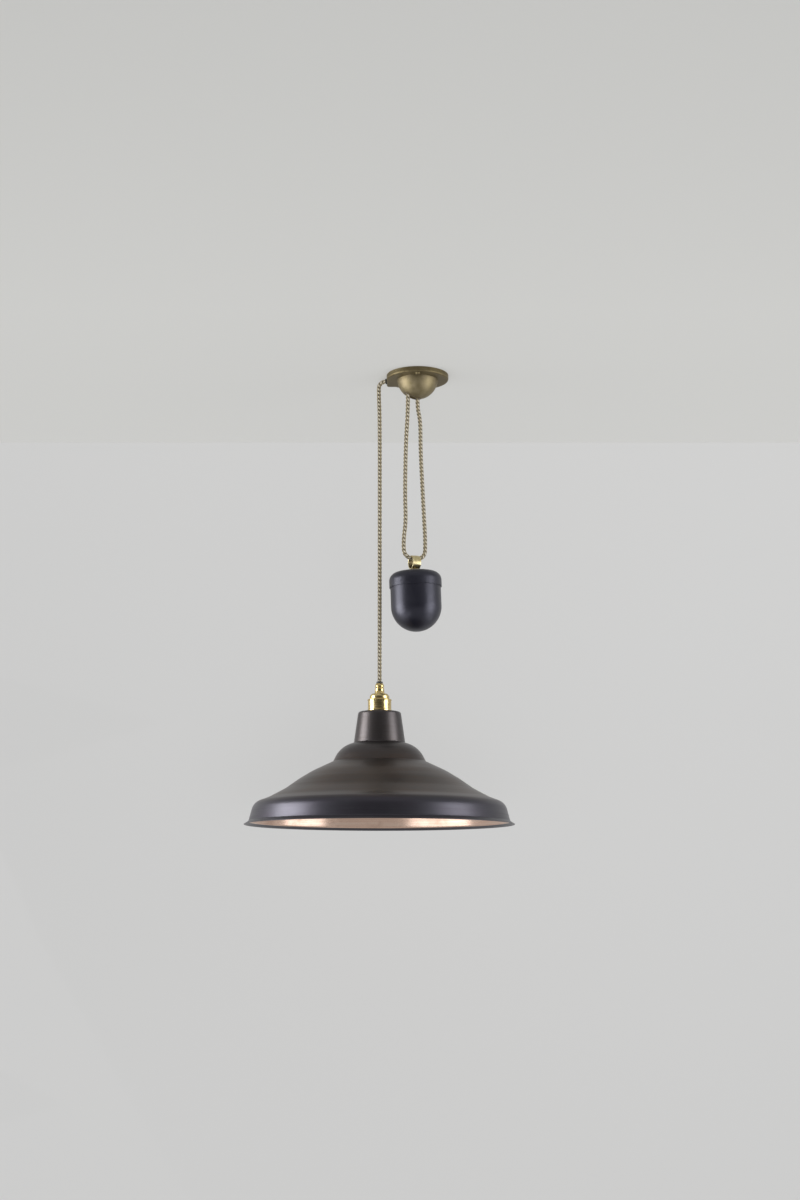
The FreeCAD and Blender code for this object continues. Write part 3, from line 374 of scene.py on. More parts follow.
def braidedCotton():
    # braided cotton over a round core: matt yarn, cream and dark olive plaits one way and gold ones the
    # other way, so it reads as fleck. UV: x goes once round, y counts plaits along.
    look = {
        "gold": "#968763", "cream": "#efe6d2", "olive": "#2f2715", "shadow": "#241d11",
        "fuzzMm": 1 / 3, "fuzzDeepMm": 0.1, "yarnDeepMm": 0.2, "roughness": 0.88, "sheen": 0.1, "sheenRoughness": 0.5,
    }
    material, tree = newMaterial("braided cotton")
    uv = addNode(tree, "ShaderNodeUVMap", out=0, uv_map="braid")
    parts = addNode(tree, "ShaderNodeSeparateXYZ", {0: uv})
    turn = addNode(tree, "ShaderNodeMath", {
        0: parts.outputs[0], 1: float(braid["plaits"])}, out=0, operation="MULTIPLY")
    yarns = []
    indices = []
    for way in ("ADD", "SUBTRACT"):
        phase = addNode(tree, "ShaderNodeMath", {0: turn, 1: parts.outputs[1]}, out=0, operation=way)
        indices.append(addNode(tree, "ShaderNodeMath", {0: phase}, out=0, operation="FLOOR"))
        within = addNode(tree, "ShaderNodeMath", {0: phase}, out=0, operation="FRACT")
        ends = addNode(tree, "ShaderNodeMath", {0: within, 1: math.pi * braid["ends"]}, out=0, operation="MULTIPLY")
        wave = addNode(tree, "ShaderNodeMath", {0: ends}, out=0, operation="SINE")
        yarns.append(addNode(tree, "ShaderNodeMath", {0: wave}, out=0, operation="ABSOLUTE"))
    # every second plait of the first way is cream, and two of each four crossings have it on top
    kind = addNode(tree, "ShaderNodeMath", {0: indices[0], 1: 2.0}, out=0, operation="FLOORED_MODULO")
    isCream = addNode(tree, "ShaderNodeMath", {0: kind, 1: 1.0, 2: 0.3}, out=0, operation="COMPARE")
    firstWay = addNode(tree, "ShaderNodeMix", {
        "Factor": isCream, 6: look["olive"], 7: look["cream"]}, out=2, data_type="RGBA")
    both = addNode(tree, "ShaderNodeMath", {0: indices[0], 1: indices[1]}, out=0, operation="ADD")
    four = addNode(tree, "ShaderNodeMath", {0: both, 1: 4.0}, out=0, operation="FLOORED_MODULO")
    over = addNode(tree, "ShaderNodeMath", {0: four, 1: 1.5}, out=0, operation="LESS_THAN")
    colour = addNode(tree, "ShaderNodeMix", {"Factor": over, 6: look["gold"], 7: firstWay}, out=2, data_type="RGBA")
    yarn = addNode(tree, "ShaderNodeMix", {0: over, 2: yarns[1], 3: yarns[0]}, out=0, data_type="FLOAT")
    between = addNode(tree, "ShaderNodeMapRange", {
        "Value": yarn, "From Min": 0.0, "From Max": 0.55, "To Min": 0.6, "To Max": 0.0}, out=0)
    shaded = addNode(tree, "ShaderNodeMix", {
        "Factor": between, 6: colour, 7: look["shadow"]}, out=2, data_type="RGBA")
    fuzz = addNode(tree, "ShaderNodeTexNoise", {
        "Vector": objectSpace(tree), "Scale": 1000 / look["fuzzMm"], "Detail": 3.0, "Roughness": 0.7}, out="Fac")
    lint = addNode(tree, "ShaderNodeMapRange", {
        "Value": fuzz, "From Min": 0.35, "From Max": 0.7, "To Min": 0.0, "To Max": 0.2}, out=0)
    raised = addNode(tree, "ShaderNodeBump", {
        "Height": yarn, "Distance": look["yarnDeepMm"] / 1000, "Strength": 0.7}, out=0)
    return withShader(material, {
        "Base Color": addNode(tree, "ShaderNodeMix", {
            "Factor": lint, 6: shaded, 7: look["cream"]}, out=2, data_type="RGBA"),
        "Roughness": look["roughness"],
        "Sheen Weight": look["sheen"],
        "Sheen Roughness": look["sheenRoughness"],
        "Normal": addNode(tree, "ShaderNodeBump", {
            "Height": fuzz, "Distance": look["fuzzDeepMm"] / 1000, "Strength": 0.4, "Normal": raised}, out=0),
    })


castTexture = {
    "grainMm": 0.6, "grainDeepMm": 0.12, "hollowMm": 3.2, "hollowDeepMm": 0.25, "edgeMm": 0.9, "roughness": (0.5, 0.6)}
domeLook = {
    **castTexture, "pale": "#867b63", "olive": "#766c52", "brown": "#5b513d", "rubbed": "#9a8f72", "cloudMm": 9}
# the plate's brass is the dome's made darker: painted shade on the plate's underside; the fixing screws and their
# threads take the same darker copy
plateLookShaded = {
    **castTexture, "pale": "#746a51", "olive": "#63583f", "brown": "#4d4430", "rubbed": "#92866a", "cloudMm": 12}
# the eye's bore is drawn in a darker cast brass: painted shade inside the tube
eyeBoreShadedLook = {
    **castTexture, "pale": "#80745a", "olive": "#6d6145", "brown": "#564b36", "rubbed": "#a0936f", "cloudMm": 12}
holderLook = {
    "bright": "#d6c28e", "deep": "#bca670",
    "ringMm": 0.35, "ringDeepMm": 0.03, "cloudMm": 12, "roughness": (0.21, 0.28)}
eyeLook = {
    "bright": "#dccfa4", "deep": "#bfb187",
    "ringMm": 0.5, "ringDeepMm": 0.03, "cloudMm": 6, "roughness": (0.32, 0.42)}
eyeAxis = (-0.00495, -0.00105, 0)
zincLook = {"light": "#b9bab8", "dark": "#8e9294", "cloudMm": 3, "scratchDeepMm": 0.02, "roughness": (0.3, 0.45)}
springLook = {"light": "#a8a9ab", "dark": "#7f8286", "cloudMm": 2, "scratchDeepMm": 0.02, "roughness": (0.2, 0.3)}
mouldTexture = {"textureDeepMm": 0.04, "cloudsPerMetre": 120}
brownLook = {**mouldTexture, "light": "#6a5c40", "dark": "#574b34", "textureMm": 0.4, "roughness": (0.45, 0.55)}
blackLook = {**mouldTexture, "light": "#26241f", "dark": "#191816", "textureMm": 0.4, "roughness": (0.45, 0.55)}
creamLook = {**mouldTexture, "light": "#e8dfc8", "dark": "#dccfae", "textureMm": 0.5, "roughness": (0.3, 0.4)}

materials = {
    "domeBrass": antiquedBrass("antiqued brass, dome", domeLook),
    "plateBrassPaintedShade": antiquedBrass("antiqued brass, plate, darker as painted shade", plateLookShaded),
    "eyeBoreBrassPaintedShade": antiquedBrass("antiqued brass, inside the eye, darker as painted shade", eyeBoreShadedLook),
    "holderBrass": turnedBrass("polished brass", lampAxis, holderLook),
    "eyeBrass": turnedBrass("satin brass", eyeAxis, eyeLook),
    "bronzed": bronzedCopper(),
    "copper": brightCopper(),
    "paint": satinPaint(),
    "iron": castIron(),
    "zinc": steel("zinc plated steel", zincLook),
    "spring": steel("drawn spring steel", springLook),
    "brownPlastic": moulding("brown phenolic", brownLook),
    "blackPlastic": moulding("black phenolic", blackLook),
    "creamPlastic": moulding("cream urea", creamLook),
    "cotton": braidedCotton(),
}

nodeFinish = {
    "domeBrass": ["dome_cover"],
    "plateBrassPaintedShade": ["ceiling_plate", "fixing_screws"],
    "holderBrass": ["shade_nut", "bayonet_barrel", "holder_posts",
                    "plunger_left", "plunger_right", "terminal_screws"],
    "eyeBrass": ["eye_nut"],
    "paint": ["weight_lid", "weight_body"],
    "iron": ["ballast"],
    "zinc": ["pulley_bracket", "bracket_screws", "sheave_axle", "cord_clamp", "clamp_screws"],
    "brownPlastic": ["slot_liner"],
    "blackPlastic": ["exit_bush", "grip_bush", "sheave"],
    "creamPlastic": ["holder_insert", "terminal_block"],
}
for finish, names in nodeFinish.items():
    for name in names:
        for materialSlot in nodes[name].material_slots:
            materialSlot.material = materials[finish]
print("nodes kept as they are, with a finish:", sum(len(names) for names in nodeFinish.values()))


def splineLine(points):
    # the route as a smooth NURBS line; its points are read back as a mesh with no thickness
    curve = bpy.data.curves.new("route", "CURVE")
    curve.dimensions = "3D"
    curve.resolution_u = braid["routeSteps"]
    spline = curve.splines.new("NURBS")
    spline.points.add(len(points) - 1)
    for point, place in zip(spline.points, points):
        point.co = (*place, 1)
    spline.order_u = 3
    spline.use_endpoint_u = True
    route = bpy.data.objects.new("route", curve)
    scene.collection.objects.link(route)
    graph = bpy.context.evaluated_depsgraph_get()
    mesh = bpy.data.meshes.new_from_object(route.evaluated_get(graph), depsgraph=graph)
    line = [vertex.co.copy() for vertex in mesh.vertices]
    bpy.data.objects.remove(route)
    bpy.data.meshes.remove(mesh)
    return line


def evenLine(line, step):
    # the same line with points a step apart, and its length
    lengths = [0.0]
    for first, second in zip(line, line[1:]):
        lengths.append(lengths[-1] + (second - first).length)
    count = round(lengths[-1] / step)
    places = []
    index = 0
    for i in range(count + 1):
        target = lengths[-1] * i / count
        while index < len(line) - 2 and lengths[index + 1] < target:
            index += 1
        share = (target - lengths[index]) / max(1e-9, lengths[index + 1] - lengths[index])
        places.append(line[index].lerp(line[index + 1], share))
    return places, lengths[-1]


def plaitHeight(around, along):
    # how high the braid stands at a point, 0 in the valleys to 1 on a plait's back
    first = around * braid["plaits"] + along
    second = around * braid["plaits"] - along
    hair = 1e-6  # keeps a point that lies on a border in the same plait as its neighbour
    over = (math.floor(first + hair) + math.floor(second + hair)) % 4 < 2
    within = (first if over else second) % 1.0
    crossing = (second if over else first) % 1.0
    lift = 1 - braid["dip"] + braid["dip"] * math.sin(math.pi * crossing)
    return math.sqrt(max(0.0, math.sin(math.pi * within))) * lift


def braidedTube(name, points):
    # a closed tube along the route, its relief and its UV map following the plaits
    line = splineLine(points)
    places, length = evenLine(line, braid["ringStep"])
    count = braid["aroundCount"]
    vertices = []
    alongs = [i * length / (len(places) - 1) / braid["plaitAlong"] for i in range(len(places))]
    side = None
    for i, place in enumerate(places):
        ahead = (places[min(i + 1, len(places) - 1)] - places[max(i - 1, 0)]).normalized()
        if side is None:
            side = ahead.orthogonal().normalized()
        side = (side - ahead * side.dot(ahead)).normalized()
        other = ahead.cross(side)
        for j in range(count):
            angle = math.tau * j / count
            height = plaitHeight(j / count, alongs[i]) - braid["meanHeight"]
            radius = braid["diameter"] / 2 + braid["relief"] * height
            vertices.append(place + (side * math.cos(angle) + other * math.sin(angle)) * radius)
    faces = []
    wraps = []
    for i in range(len(places) - 1):
        for j in range(count):
            k = (j + 1) % count
            faces.append((i * count + j, i * count + k, (i + 1) * count + k, (i + 1) * count + j))
            wraps.append([(j, i), (j + 1, i), (j + 1, i + 1), (j, i + 1)])
    for ring, turned in ((0, True), (len(places) - 1, False)):
        centre = len(vertices)
        vertices.append(places[ring])
        for j in range(count):
            k = (j + 1) % count
            pair = (ring * count + k, ring * count + j) if turned else (ring * count + j, ring * count + k)
            faces.append((*pair, centre))
            wraps.append([(j, ring), (j + 1, ring), (j + 0.5, ring)])
    mesh = bpy.data.meshes.new(name)
    mesh.from_pydata(vertices, [], faces)
    uv = mesh.uv_layers.new(name="braid")
    flat = []
    for wrap in wraps:
        for j, i in wrap:
            flat += [j / count, alongs[int(i)]]
    uv.data.foreach_set("uv", flat)
    mesh.polygons.foreach_set("use_smooth", [True] * len(mesh.polygons))
    mesh.materials.append(materials["cotton"])
    mesh.update()
    tube = bpy.data.objects.new(name, mesh)
    scene.collection.objects.link(tube)
    return tube, line, length


# from the bush in the plate's edge, over and down to the grip on the lampholder
lampCordRoute = [
    (-0.05069, 0.01825, -0.0038),
    (-0.06230, 0.02243, -0.0038),
    (-0.06280, 0.02261, -0.0240),
    (-0.06115, 0.02200, -0.0600),
    (-0.06104, 0.02198, -0.2000),
    (-0.06104, 0.02198, -0.3500),
    (-0.06104, 0.02198, -0.4940),
]
lampCord, lampLine, lampLength = braidedTube("lampCord", lampCordRoute)
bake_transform(lampCord)
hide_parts("lamp_cord_bend", "lamp_cord")

# down from the dome, through the weight's eye and up again: two limp strands, each with its own bow
weightCordRoute = [
    (-0.01550, -0.00650, -0.03290),
    (-0.01555, -0.00655, -0.06000),
    (-0.01890, -0.00690, -0.11000),
    (-0.02040, -0.00740, -0.19500),
    (-0.01880, -0.00770, -0.24000),
    (-0.02290, -0.00810, -0.27000),
    (-0.02145, -0.00805, -0.29900),
    (0.01155, 0.00595, -0.29900),
    (0.01240, 0.00590, -0.26800),
    (0.01060, 0.00520, -0.23600),
    (0.00820, 0.00400, -0.19000),
    (0.00470, 0.00240, -0.12000),
    (0.00480, 0.00100, -0.07500),
    (-0.00030, 0.00000, -0.05200),
    (0.00000, 0.00000, -0.03750),
]
weightCord, weightLine, weightLength = braidedTube("weightCord", weightCordRoute)
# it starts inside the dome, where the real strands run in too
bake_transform(weightCord)
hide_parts("weight_cord_left", "weight_cord_right", "weight_cord_turn")

# the stretches that stay inside: over the sheave, up to the clamp, and down into the grip
sheaveCord, _, sheaveLength = braidedTube("sheaveCord", [
    (0.00000, 0.00000, -0.0375),
    (0.00000, 0.00000, -0.0200),
    (0.00000, 0.00000, -0.0038),
    (-0.01700, 0.00612, -0.0038),
    (-0.05069, 0.01825, -0.0038),
])
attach(sheaveCord, "ceiling")
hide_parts("cord_over_sheave")
tailCord, _, tailLength = braidedTube("tailCord", [
    (-0.01550, -0.00650, -0.03290),
    (-0.01550, -0.00650, -0.02625),
    (-0.01496, -0.00500, -0.02025),
    (-0.01496, -0.00500, -0.00935),
])
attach(tailCord, "ceiling")
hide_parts("cord_tail")
gripCord, _, gripLength = braidedTube("gripCord", [
    (-0.06104, 0.02198, -0.4940),
    (-0.06104, 0.02198, -0.5030),
    (-0.06104, 0.02198, -0.5118),
])
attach(gripCord, "lamp")
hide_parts("cord_in_grip")
print(f"cords: lamp {lampLength:.4f}, weight {weightLength:.4f}, sheave {sheaveLength:.4f}, "
      f"tail {tailLength:.4f}, grip {gripLength:.4f} m")

# the shade, turned by Geometry Nodes
shade = {
    "rimLevel": -0.7240,
    "sheet": 0.0008,        # the copper's thickness
    "around": 288,
    "outlineStep": 0.004,
    "edgeRound": 0.0002,
    "brightAbove": 0.0035,  # the lip's inner face keeps the dark outside finish, and the bright inside finish starts above it
    # outside from the lip to the hole in the top: radius, height above the rim, rounding, all in mm;
    # the cone swells a little below the crown and hollows above the skirt
    "corners": [
        (216.4, 0.0, 0.0), (208.9, 4.9, 3.0), (201.0, 33.8, 20.0), (177.5, 42.4, 60.0), (151.0, 56.6, 80.0),
        (129.0, 72.2, 120.0), (108.0, 85.0, 120.0), (74.6, 100.8, 1.6), (61.9, 125.6, 41.0), (41.3, 130.8, 1.6),
        (34.2, 180.6, 4.0), (24.0, 182.0, 1.0), (14.3, 182.0, 0.0),
    ],
}


def roundedLine(corners, closed=False, arcStepDegrees=6.0):
    # corners of (radius, height, rounding) in mm, given back as points in metres with each corner an arc
    points = [Vector((c[0], c[1])) / 1000 for c in corners]
    count = len(points)
    reaches = [0.0] * count
    halves = [math.pi / 2] * count
    for i in range(0 if closed else 1, count if closed else count - 1):
        back = (points[i - 1] - points[i]).normalized()
        ahead = (points[(i + 1) % count] - points[i]).normalized()
        halves[i] = math.acos(max(-1.0, min(1.0, back.dot(ahead)))) / 2
        reaches[i] = corners[i][2] / 1000 / math.tan(halves[i])
    for i in range(count if closed else count - 1):
        k = (i + 1) % count
        run = (points[k] - points[i]).length
        share = run / max(run, reaches[i] + reaches[k])
        reaches[i] *= share
        reaches[k] *= share
    line = []
    for i, point in enumerate(points):
        if reaches[i] < 1e-7:  # a sharp corner
            line.append(point)
            continue
        back = (points[i - 1] - point).normalized()
        ahead = (points[(i + 1) % count] - point).normalized()
        radius = reaches[i] * math.tan(halves[i])
        middle = point + (back + ahead).normalized() * (radius / math.sin(halves[i]))
        start = point + back * reaches[i] - middle
        sweep = start.angle_signed(point + ahead * reaches[i] - middle)
        steps = max(3, math.ceil(abs(math.degrees(sweep)) / arcStepDegrees))
        for k in range(steps + 1):
            angle = -sweep * k / steps
            line.append(middle + Vector((
                start.x * math.cos(angle) - start.y * math.sin(angle),
                start.x * math.sin(angle) + start.y * math.cos(angle),
            )))
    return line


def denser(line, step):
    # the same line with no stretch longer than a step
    out = [line[0]]
    for first, second in zip(line, line[1:]):
        parts = max(1, math.ceil((second - first).length / step))
        out += [first.lerp(second, k / parts) for k in range(1, parts + 1)]
    return out


def sheetOutline():
    # the sheet's closed section, and for each of its points whether it is on the bright side
    outer = denser(roundedLine(shade["corners"]), shade["outlineStep"])
    inner = []
    for i, point in enumerate(outer):
        ahead = outer[min(i + 1, len(outer) - 1)] - point
        back = point - outer[max(i - 1, 0)]
        along = (ahead.normalized() + back.normalized()).normalized()
        inner.append(point + Vector((-along.y, along.x)) * shade["sheet"])
    soft = shade["edgeRound"]
    closed = []
    for end, first, second in ((outer[0], outer[1], inner[0]), (outer[-1], outer[-2], inner[-1])):
        inward = (first - end).normalized() * soft
        across = (second - end).normalized() * soft
        closed.append([end + inward, end + inward * 0.3 + across * 0.3, end + across,
                       second - across, second + inward * 0.3 - across * 0.3, second + inward])
    loop = outer[1:-1] + closed[1][:6] + inner[-2:0:-1] + closed[0][::-1]
    bright = [1.0 if point.y > shade["brightAbove"] else 0.0 for point in inner[-2:0:-1]]
    inside = [0.0] * (len(outer) - 2) + [0, 0, 0, 1, 1, 1] + bright + [0] * 6
    return loop, inside


def newTree(name, inputs, output):
    # a Geometry Nodes tree with the inputs and the one output that its modifier shows
    tree = bpy.data.node_groups.new(name, "GeometryNodeTree")
    for socket, kind in inputs.items():
        tree.interface.new_socket(socket, in_out="INPUT", socket_type="NodeSocket" + kind)
    tree.interface.new_socket(output, in_out="OUTPUT", socket_type="NodeSocketGeometry")
    return tree, addNode(tree, "NodeGroupInput")


def turnedTree():
    # a closed outline in the XY plane (x = radius, -y = height), carried once round the axis
    tree, given = newTree("turned sheet", {
        "Outline": "Geometry", "Segments": "Int", "Place": "Vector", "Turn": "Vector",
        "Outside finish": "Material", "Inside finish": "Material"}, "Sheet")
    outline = addNode(tree, "GeometryNodeMeshToCurve", {0: given.outputs["Outline"]}, out=0)
    # a path too small to see: the outline already holds its own radius
    axis = addNode(tree, "GeometryNodeCurvePrimitiveCircle", {
        "Resolution": given.outputs["Segments"], "Radius": 1e-6}, out=0)
    level = addNode(tree, "GeometryNodeSetCurveNormal", {0: axis}, out=0, mode="Z_UP")
    sheet = addNode(tree, "GeometryNodeCurveToMesh", {"Curve": level, "Profile Curve": outline}, out=0)
    turn = addNode(tree, "FunctionNodeEulerToRotation", {0: given.outputs["Turn"]}, out=0)
    placed = addNode(tree, "GeometryNodeTransform", {
        0: sheet, "Translation": given.outputs["Place"], "Rotation": turn}, out=0)
    joined = addNode(tree, "GeometryNodeMergeByDistance", {0: placed, "Distance": 5e-6}, out=0)  # closes the poles
    smooth = addNode(tree, "GeometryNodeSetShadeSmooth", {0: joined}, out=0)
    real = addNode(tree, "GeometryNodeRealizeInstances", {0: smooth}, out=0)
    outside = addNode(tree, "GeometryNodeSetMaterial", {0: real, "Material": given.outputs["Outside finish"]}, out=0)
    isInside = addNode(tree, "GeometryNodeInputNamedAttribute", {"Name": "inside"}, out=0, data_type="FLOAT")
    chosen = addNode(tree, "FunctionNodeCompare", {0: isInside, 1: 0.5}, out=0, operation="GREATER_THAN")
    both = addNode(tree, "GeometryNodeSetMaterial", {
        0: outside, "Selection": chosen, "Material": given.outputs["Inside finish"]}, out=0)
    addNode(tree, "NodeGroupOutput", {0: both})
    return tree


def plainMesh(name, mesh, tree, values):
    # runs a tree on a mesh, and keeps the result as a plain mesh with nothing live on it
    source = bpy.data.objects.new(name + "Source", mesh)
    scene.collection.objects.link(source)
    modifier = source.modifiers.new("nodes", "NODES")
    modifier.node_group = tree
    for item in tree.interface.items_tree:
        if item.item_type == "SOCKET" and item.in_out == "INPUT" and item.name in values:
            modifier[item.identifier] = values[item.name]
    graph = bpy.context.evaluated_depsgraph_get()
    result = bpy.data.meshes.new_from_object(
        source.evaluated_get(graph), depsgraph=graph, preserve_all_data_layers=True)
    result.name = name
    bpy.data.objects.remove(source)
    piece = bpy.data.objects.new(name, result)
    scene.collection.objects.link(piece)
    return piece


turnedPieces = turnedTree()


def turned(name, loop, inside, segments, place, outsideFinish, insideFinish, turn=(0.0, 0.0, 0.0)):
    # a closed section as a turned piece; inside says which of its points have the inside finish
    mesh = bpy.data.meshes.new(name + " outline")
    mesh.from_pydata([(p.x, -p.y, 0) for p in loop], [(i, (i + 1) % len(loop)) for i in range(len(loop))], [])
    mesh.attributes.new("inside", "FLOAT", "POINT").data.foreach_set("value", inside)
    return plainMesh(name, mesh, turnedPieces, {
        "Segments": segments, "Place": place, "Turn": turn,
        "Outside finish": outsideFinish, "Inside finish": insideFinish})


loop, inside = sheetOutline()
spunShade = turned("spunShade", loop, inside, shade["around"], (lampAxis[0], lampAxis[1], shade["rimLevel"]),
                   materials["bronzed"], materials["copper"])
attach(spunShade, "lamp")
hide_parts("shade")
print("shade:", len(spunShade.data.polygons), "faces, finishes", [m.name for m in spunShade.data.materials])

# the lampholder's brass, turned too
holder = {
    "seatLevel": -0.5420,
    "around": 144,
    # radius, height above the shade's seat, rounding, all in mm
    "gripNut": [
        (4.8, 37.4, 0), (5.9, 37.4, 0.2), (6.1, 38.1, 0.3), (7.1, 39.4, 1.0), (7.2, 41.0, 1.6), (6.5, 43.2, 1.6),
        (5.6, 44.8, 0.4), (4.8, 45.2, 0),
    ],
    "cap": [
        (4.8, 37.4, 0), (6.9, 37.4, 0.4), (7.2, 36.4, 0.6), (7.4, 32.4, 4.0), (8.3, 28.3, 0.4), (13.0, 27.9, 1.8),
        (15.7, 24.6, 2.4), (15.7, 20.4, 0.6), (15.0, 19.6, 0), (14.3, 19.6, 0), (14.3, 20.4, 0), (13.0, 24.0, 2.0),
        (11.4, 26.0, 1.0), (4.8, 26.0, 0),
    ],
    "collar": [
        (14.05, 0, 0), (19.5, 0, 0.4), (19.5, 2.3, 0.5), (18.8, 2.9, 0.3), (18.8, 16.6, 0.3), (19.5, 17.3, 0.5),
        (19.3, 18.9, 0.8), (17.4, 19.6, 0.5), (14.2, 19.6, 0), (11.3, 19.6, 0), (11.3, 18.0, 0),
        (14.05, 18.0, 0), (17.6, 18.0, 0.5), (17.6, 3.0, 0.5), (14.05, 3.0, 0),
    ],
}
for name, node, key in (("turnedNut", "grip_nut", "gripNut"), ("turnedCap", "holder_cap", "cap"),
                        ("turnedCollar", "holder_collar", "collar")):
    loop = roundedLine(holder[key], closed=True, arcStepDegrees=10.0)
    piece = turned(name, loop, [0.0] * len(loop), holder["around"], (lampAxis[0], lampAxis[1], holder["seatLevel"]),
                   materials["holderBrass"], materials["holderBrass"])
    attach(piece, "lamp")
    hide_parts(node)

# the weight's eye, a short tube on a stud
eye = {
    "centre": (-0.00495, -0.00105, -0.3050),
    "headingDegrees": 23.0, "leanDegrees": 2.0, "around": 96,
    "shadedBoreWithin": 0.0093,  # the radius inside which the tube gets the darker, rougher brass: painted shade inside the bore
    # radius, distance along the ring's own axis, rounding, all in mm
    "ring": [(9.1, -7.0, 0.8), (11.1, -7.0, 0.8), (11.1, 7.0, 0.8), (9.1, 7.0, 0.8)],
    # the stud, from its foot up to the ring's wall; heights from the ring's centre
    "stud": [
        (0, -40.4, 0), (2.6, -40.4, 0), (3.0, -39.8, 0), (3.0, -10.9, 0), (4.2, -10.9, 0), (4.2, -10.1, 0),
        (0, -10.1, 0),
    ],
}
lean = Matrix.Rotation(math.radians(-eye["leanDegrees"]), 3, "Y")
heading = lean @ Matrix.Rotation(math.radians(eye["headingDegrees"]), 3, "Z") @ Matrix.Rotation(math.pi / 2, 3, "Y")
eyePieces = []
for name, loop, turn in (("turnedEye", roundedLine(eye["ring"], closed=True, arcStepDegrees=10.0), heading),
                         ("eyeStud", roundedLine(eye["stud"], closed=True), lean)):
    isShadedBore = [1.0 if name == "turnedEye" and point.x < eye["shadedBoreWithin"] else 0.0 for point in loop]
    eyePieces.append(turned(name, loop, isShadedBore, eye["around"], eye["centre"], materials["eyeBrass"],
                            materials["eyeBoreBrassPaintedShade"], tuple(turn.to_euler())))
turnedEye, studPiece = eyePieces
both = bmesh.new()
both.from_mesh(turnedEye.data)
both.from_mesh(studPiece.data)
both.to_mesh(turnedEye.data)
both.free()
bpy.data.objects.remove(studPiece)
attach(turnedEye, "weight")
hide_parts("weight_eye")
print("lampholder and eye turned")


def woundTree():
    # a wire wound on a cylinder, and a copy at each point given
    tree, given = newTree("wound wire", {
        "Places": "Geometry", "Turns": "Float", "Radius": "Float", "Top radius": "Float", "Height": "Float",
        "Wire": "Float", "Wire sides": "Int", "Steps a turn": "Int", "Finish": "Material"}, "Wires")
    coil = addNode(tree, "GeometryNodeCurveSpiral", {
        "Resolution": given.outputs["Steps a turn"], "Rotations": given.outputs["Turns"],
        "Start Radius": given.outputs["Radius"], "End Radius": given.outputs["Top radius"],
        "Height": given.outputs["Height"]}, out=0)
    section = addNode(tree, "GeometryNodeCurvePrimitiveCircle", {
        "Resolution": given.outputs["Wire sides"], "Radius": given.outputs["Wire"]}, out=0)
    wire = addNode(tree, "GeometryNodeCurveToMesh", {
        "Curve": coil, "Profile Curve": section, "Fill Caps": True}, out=0)
    smooth = addNode(tree, "GeometryNodeSetShadeSmooth", {0: wire}, out=0)
    copies = addNode(tree, "GeometryNodeInstanceOnPoints", {
        "Points": given.outputs["Places"], "Instance": smooth}, out=0)
    real = addNode(tree, "GeometryNodeRealizeInstances", {0: copies}, out=0)
    done = addNode(tree, "GeometryNodeSetMaterial", {0: real, "Material": given.outputs["Finish"]}, out=0)
    addNode(tree, "NodeGroupOutput", {0: done})
    return tree


def pointMesh(name, places):
    mesh = bpy.data.meshes.new(name)
    mesh.from_pydata(places, [], [])
    return mesh


wound = woundTree()

# the springs behind the lampholder's two contacts
plungerSpring = {
    "turns": 4.0, "radius": 0.0023, "wire": 0.000225, "wireSides": 12, "stepsPerTurn": 40,
    "low": -0.53178, "high": -0.52552, "places": {"left": -0.0655406, "right": -0.0565406},
}
for side, x in plungerSpring["places"].items():
    spring = plainMesh(side + "Spring", pointMesh(side + " spring place", [
        (x, lampAxis[1], plungerSpring["low"] + plungerSpring["wire"])]), wound, {
        "Turns": plungerSpring["turns"], "Radius": plungerSpring["radius"], "Top radius": plungerSpring["radius"],
        "Height": plungerSpring["high"] - plungerSpring["low"] - 2 * plungerSpring["wire"],
        "Wire": plungerSpring["wire"], "Wire sides": plungerSpring["wireSides"],
        "Steps a turn": plungerSpring["stepsPerTurn"], "Finish": materials["spring"],
    })
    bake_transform(spring)
    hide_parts("plunger_spring_" + side)

# the wood thread on the two fixing screws, a ridge wound on each shank above the ceiling
screwThread = {
    "turns": 12.0, "radius": 0.00188, "ridge": 0.00030, "ridgeSides": 4, "stepsPerTurn": 32,
    "low": 0.0018, "height": 0.0195, "fromMiddle": 0.042,
}
thread = plainMesh("fixingThreads", pointMesh("thread places", [
    (0, screwThread["fromMiddle"], screwThread["low"]), (0, -screwThread["fromMiddle"], screwThread["low"])]), wound, {
    "Turns": screwThread["turns"], "Radius": screwThread["radius"], "Top radius": screwThread["radius"],
    "Height": screwThread["height"], "Wire": screwThread["ridge"], "Wire sides": screwThread["ridgeSides"],
    "Steps a turn": screwThread["stepsPerTurn"], "Finish": materials["plateBrassPaintedShade"],
})
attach(thread, "ceiling")
print("springs and threads wound")

# the room: a pale ceiling, wall and floor
room = {
    # the paint of each, and the light that it gives of itself, which keeps it even
    "ceiling": ("#a9a9a8", "#989896"), "wall": ("#79797a", "#b6b6b5"), "floor": ("#797979", "#c0c0be"),
    "wallAt": 0.40, "ceilingAt": 0.0006, "floorAt": -2.0, "reach": 7.0, "ceilingFront": -1.22,
    "glowFalls": (-1.2, -0.3), "glowInFront": 0.78,  # the light given off is a little less towards the front
}


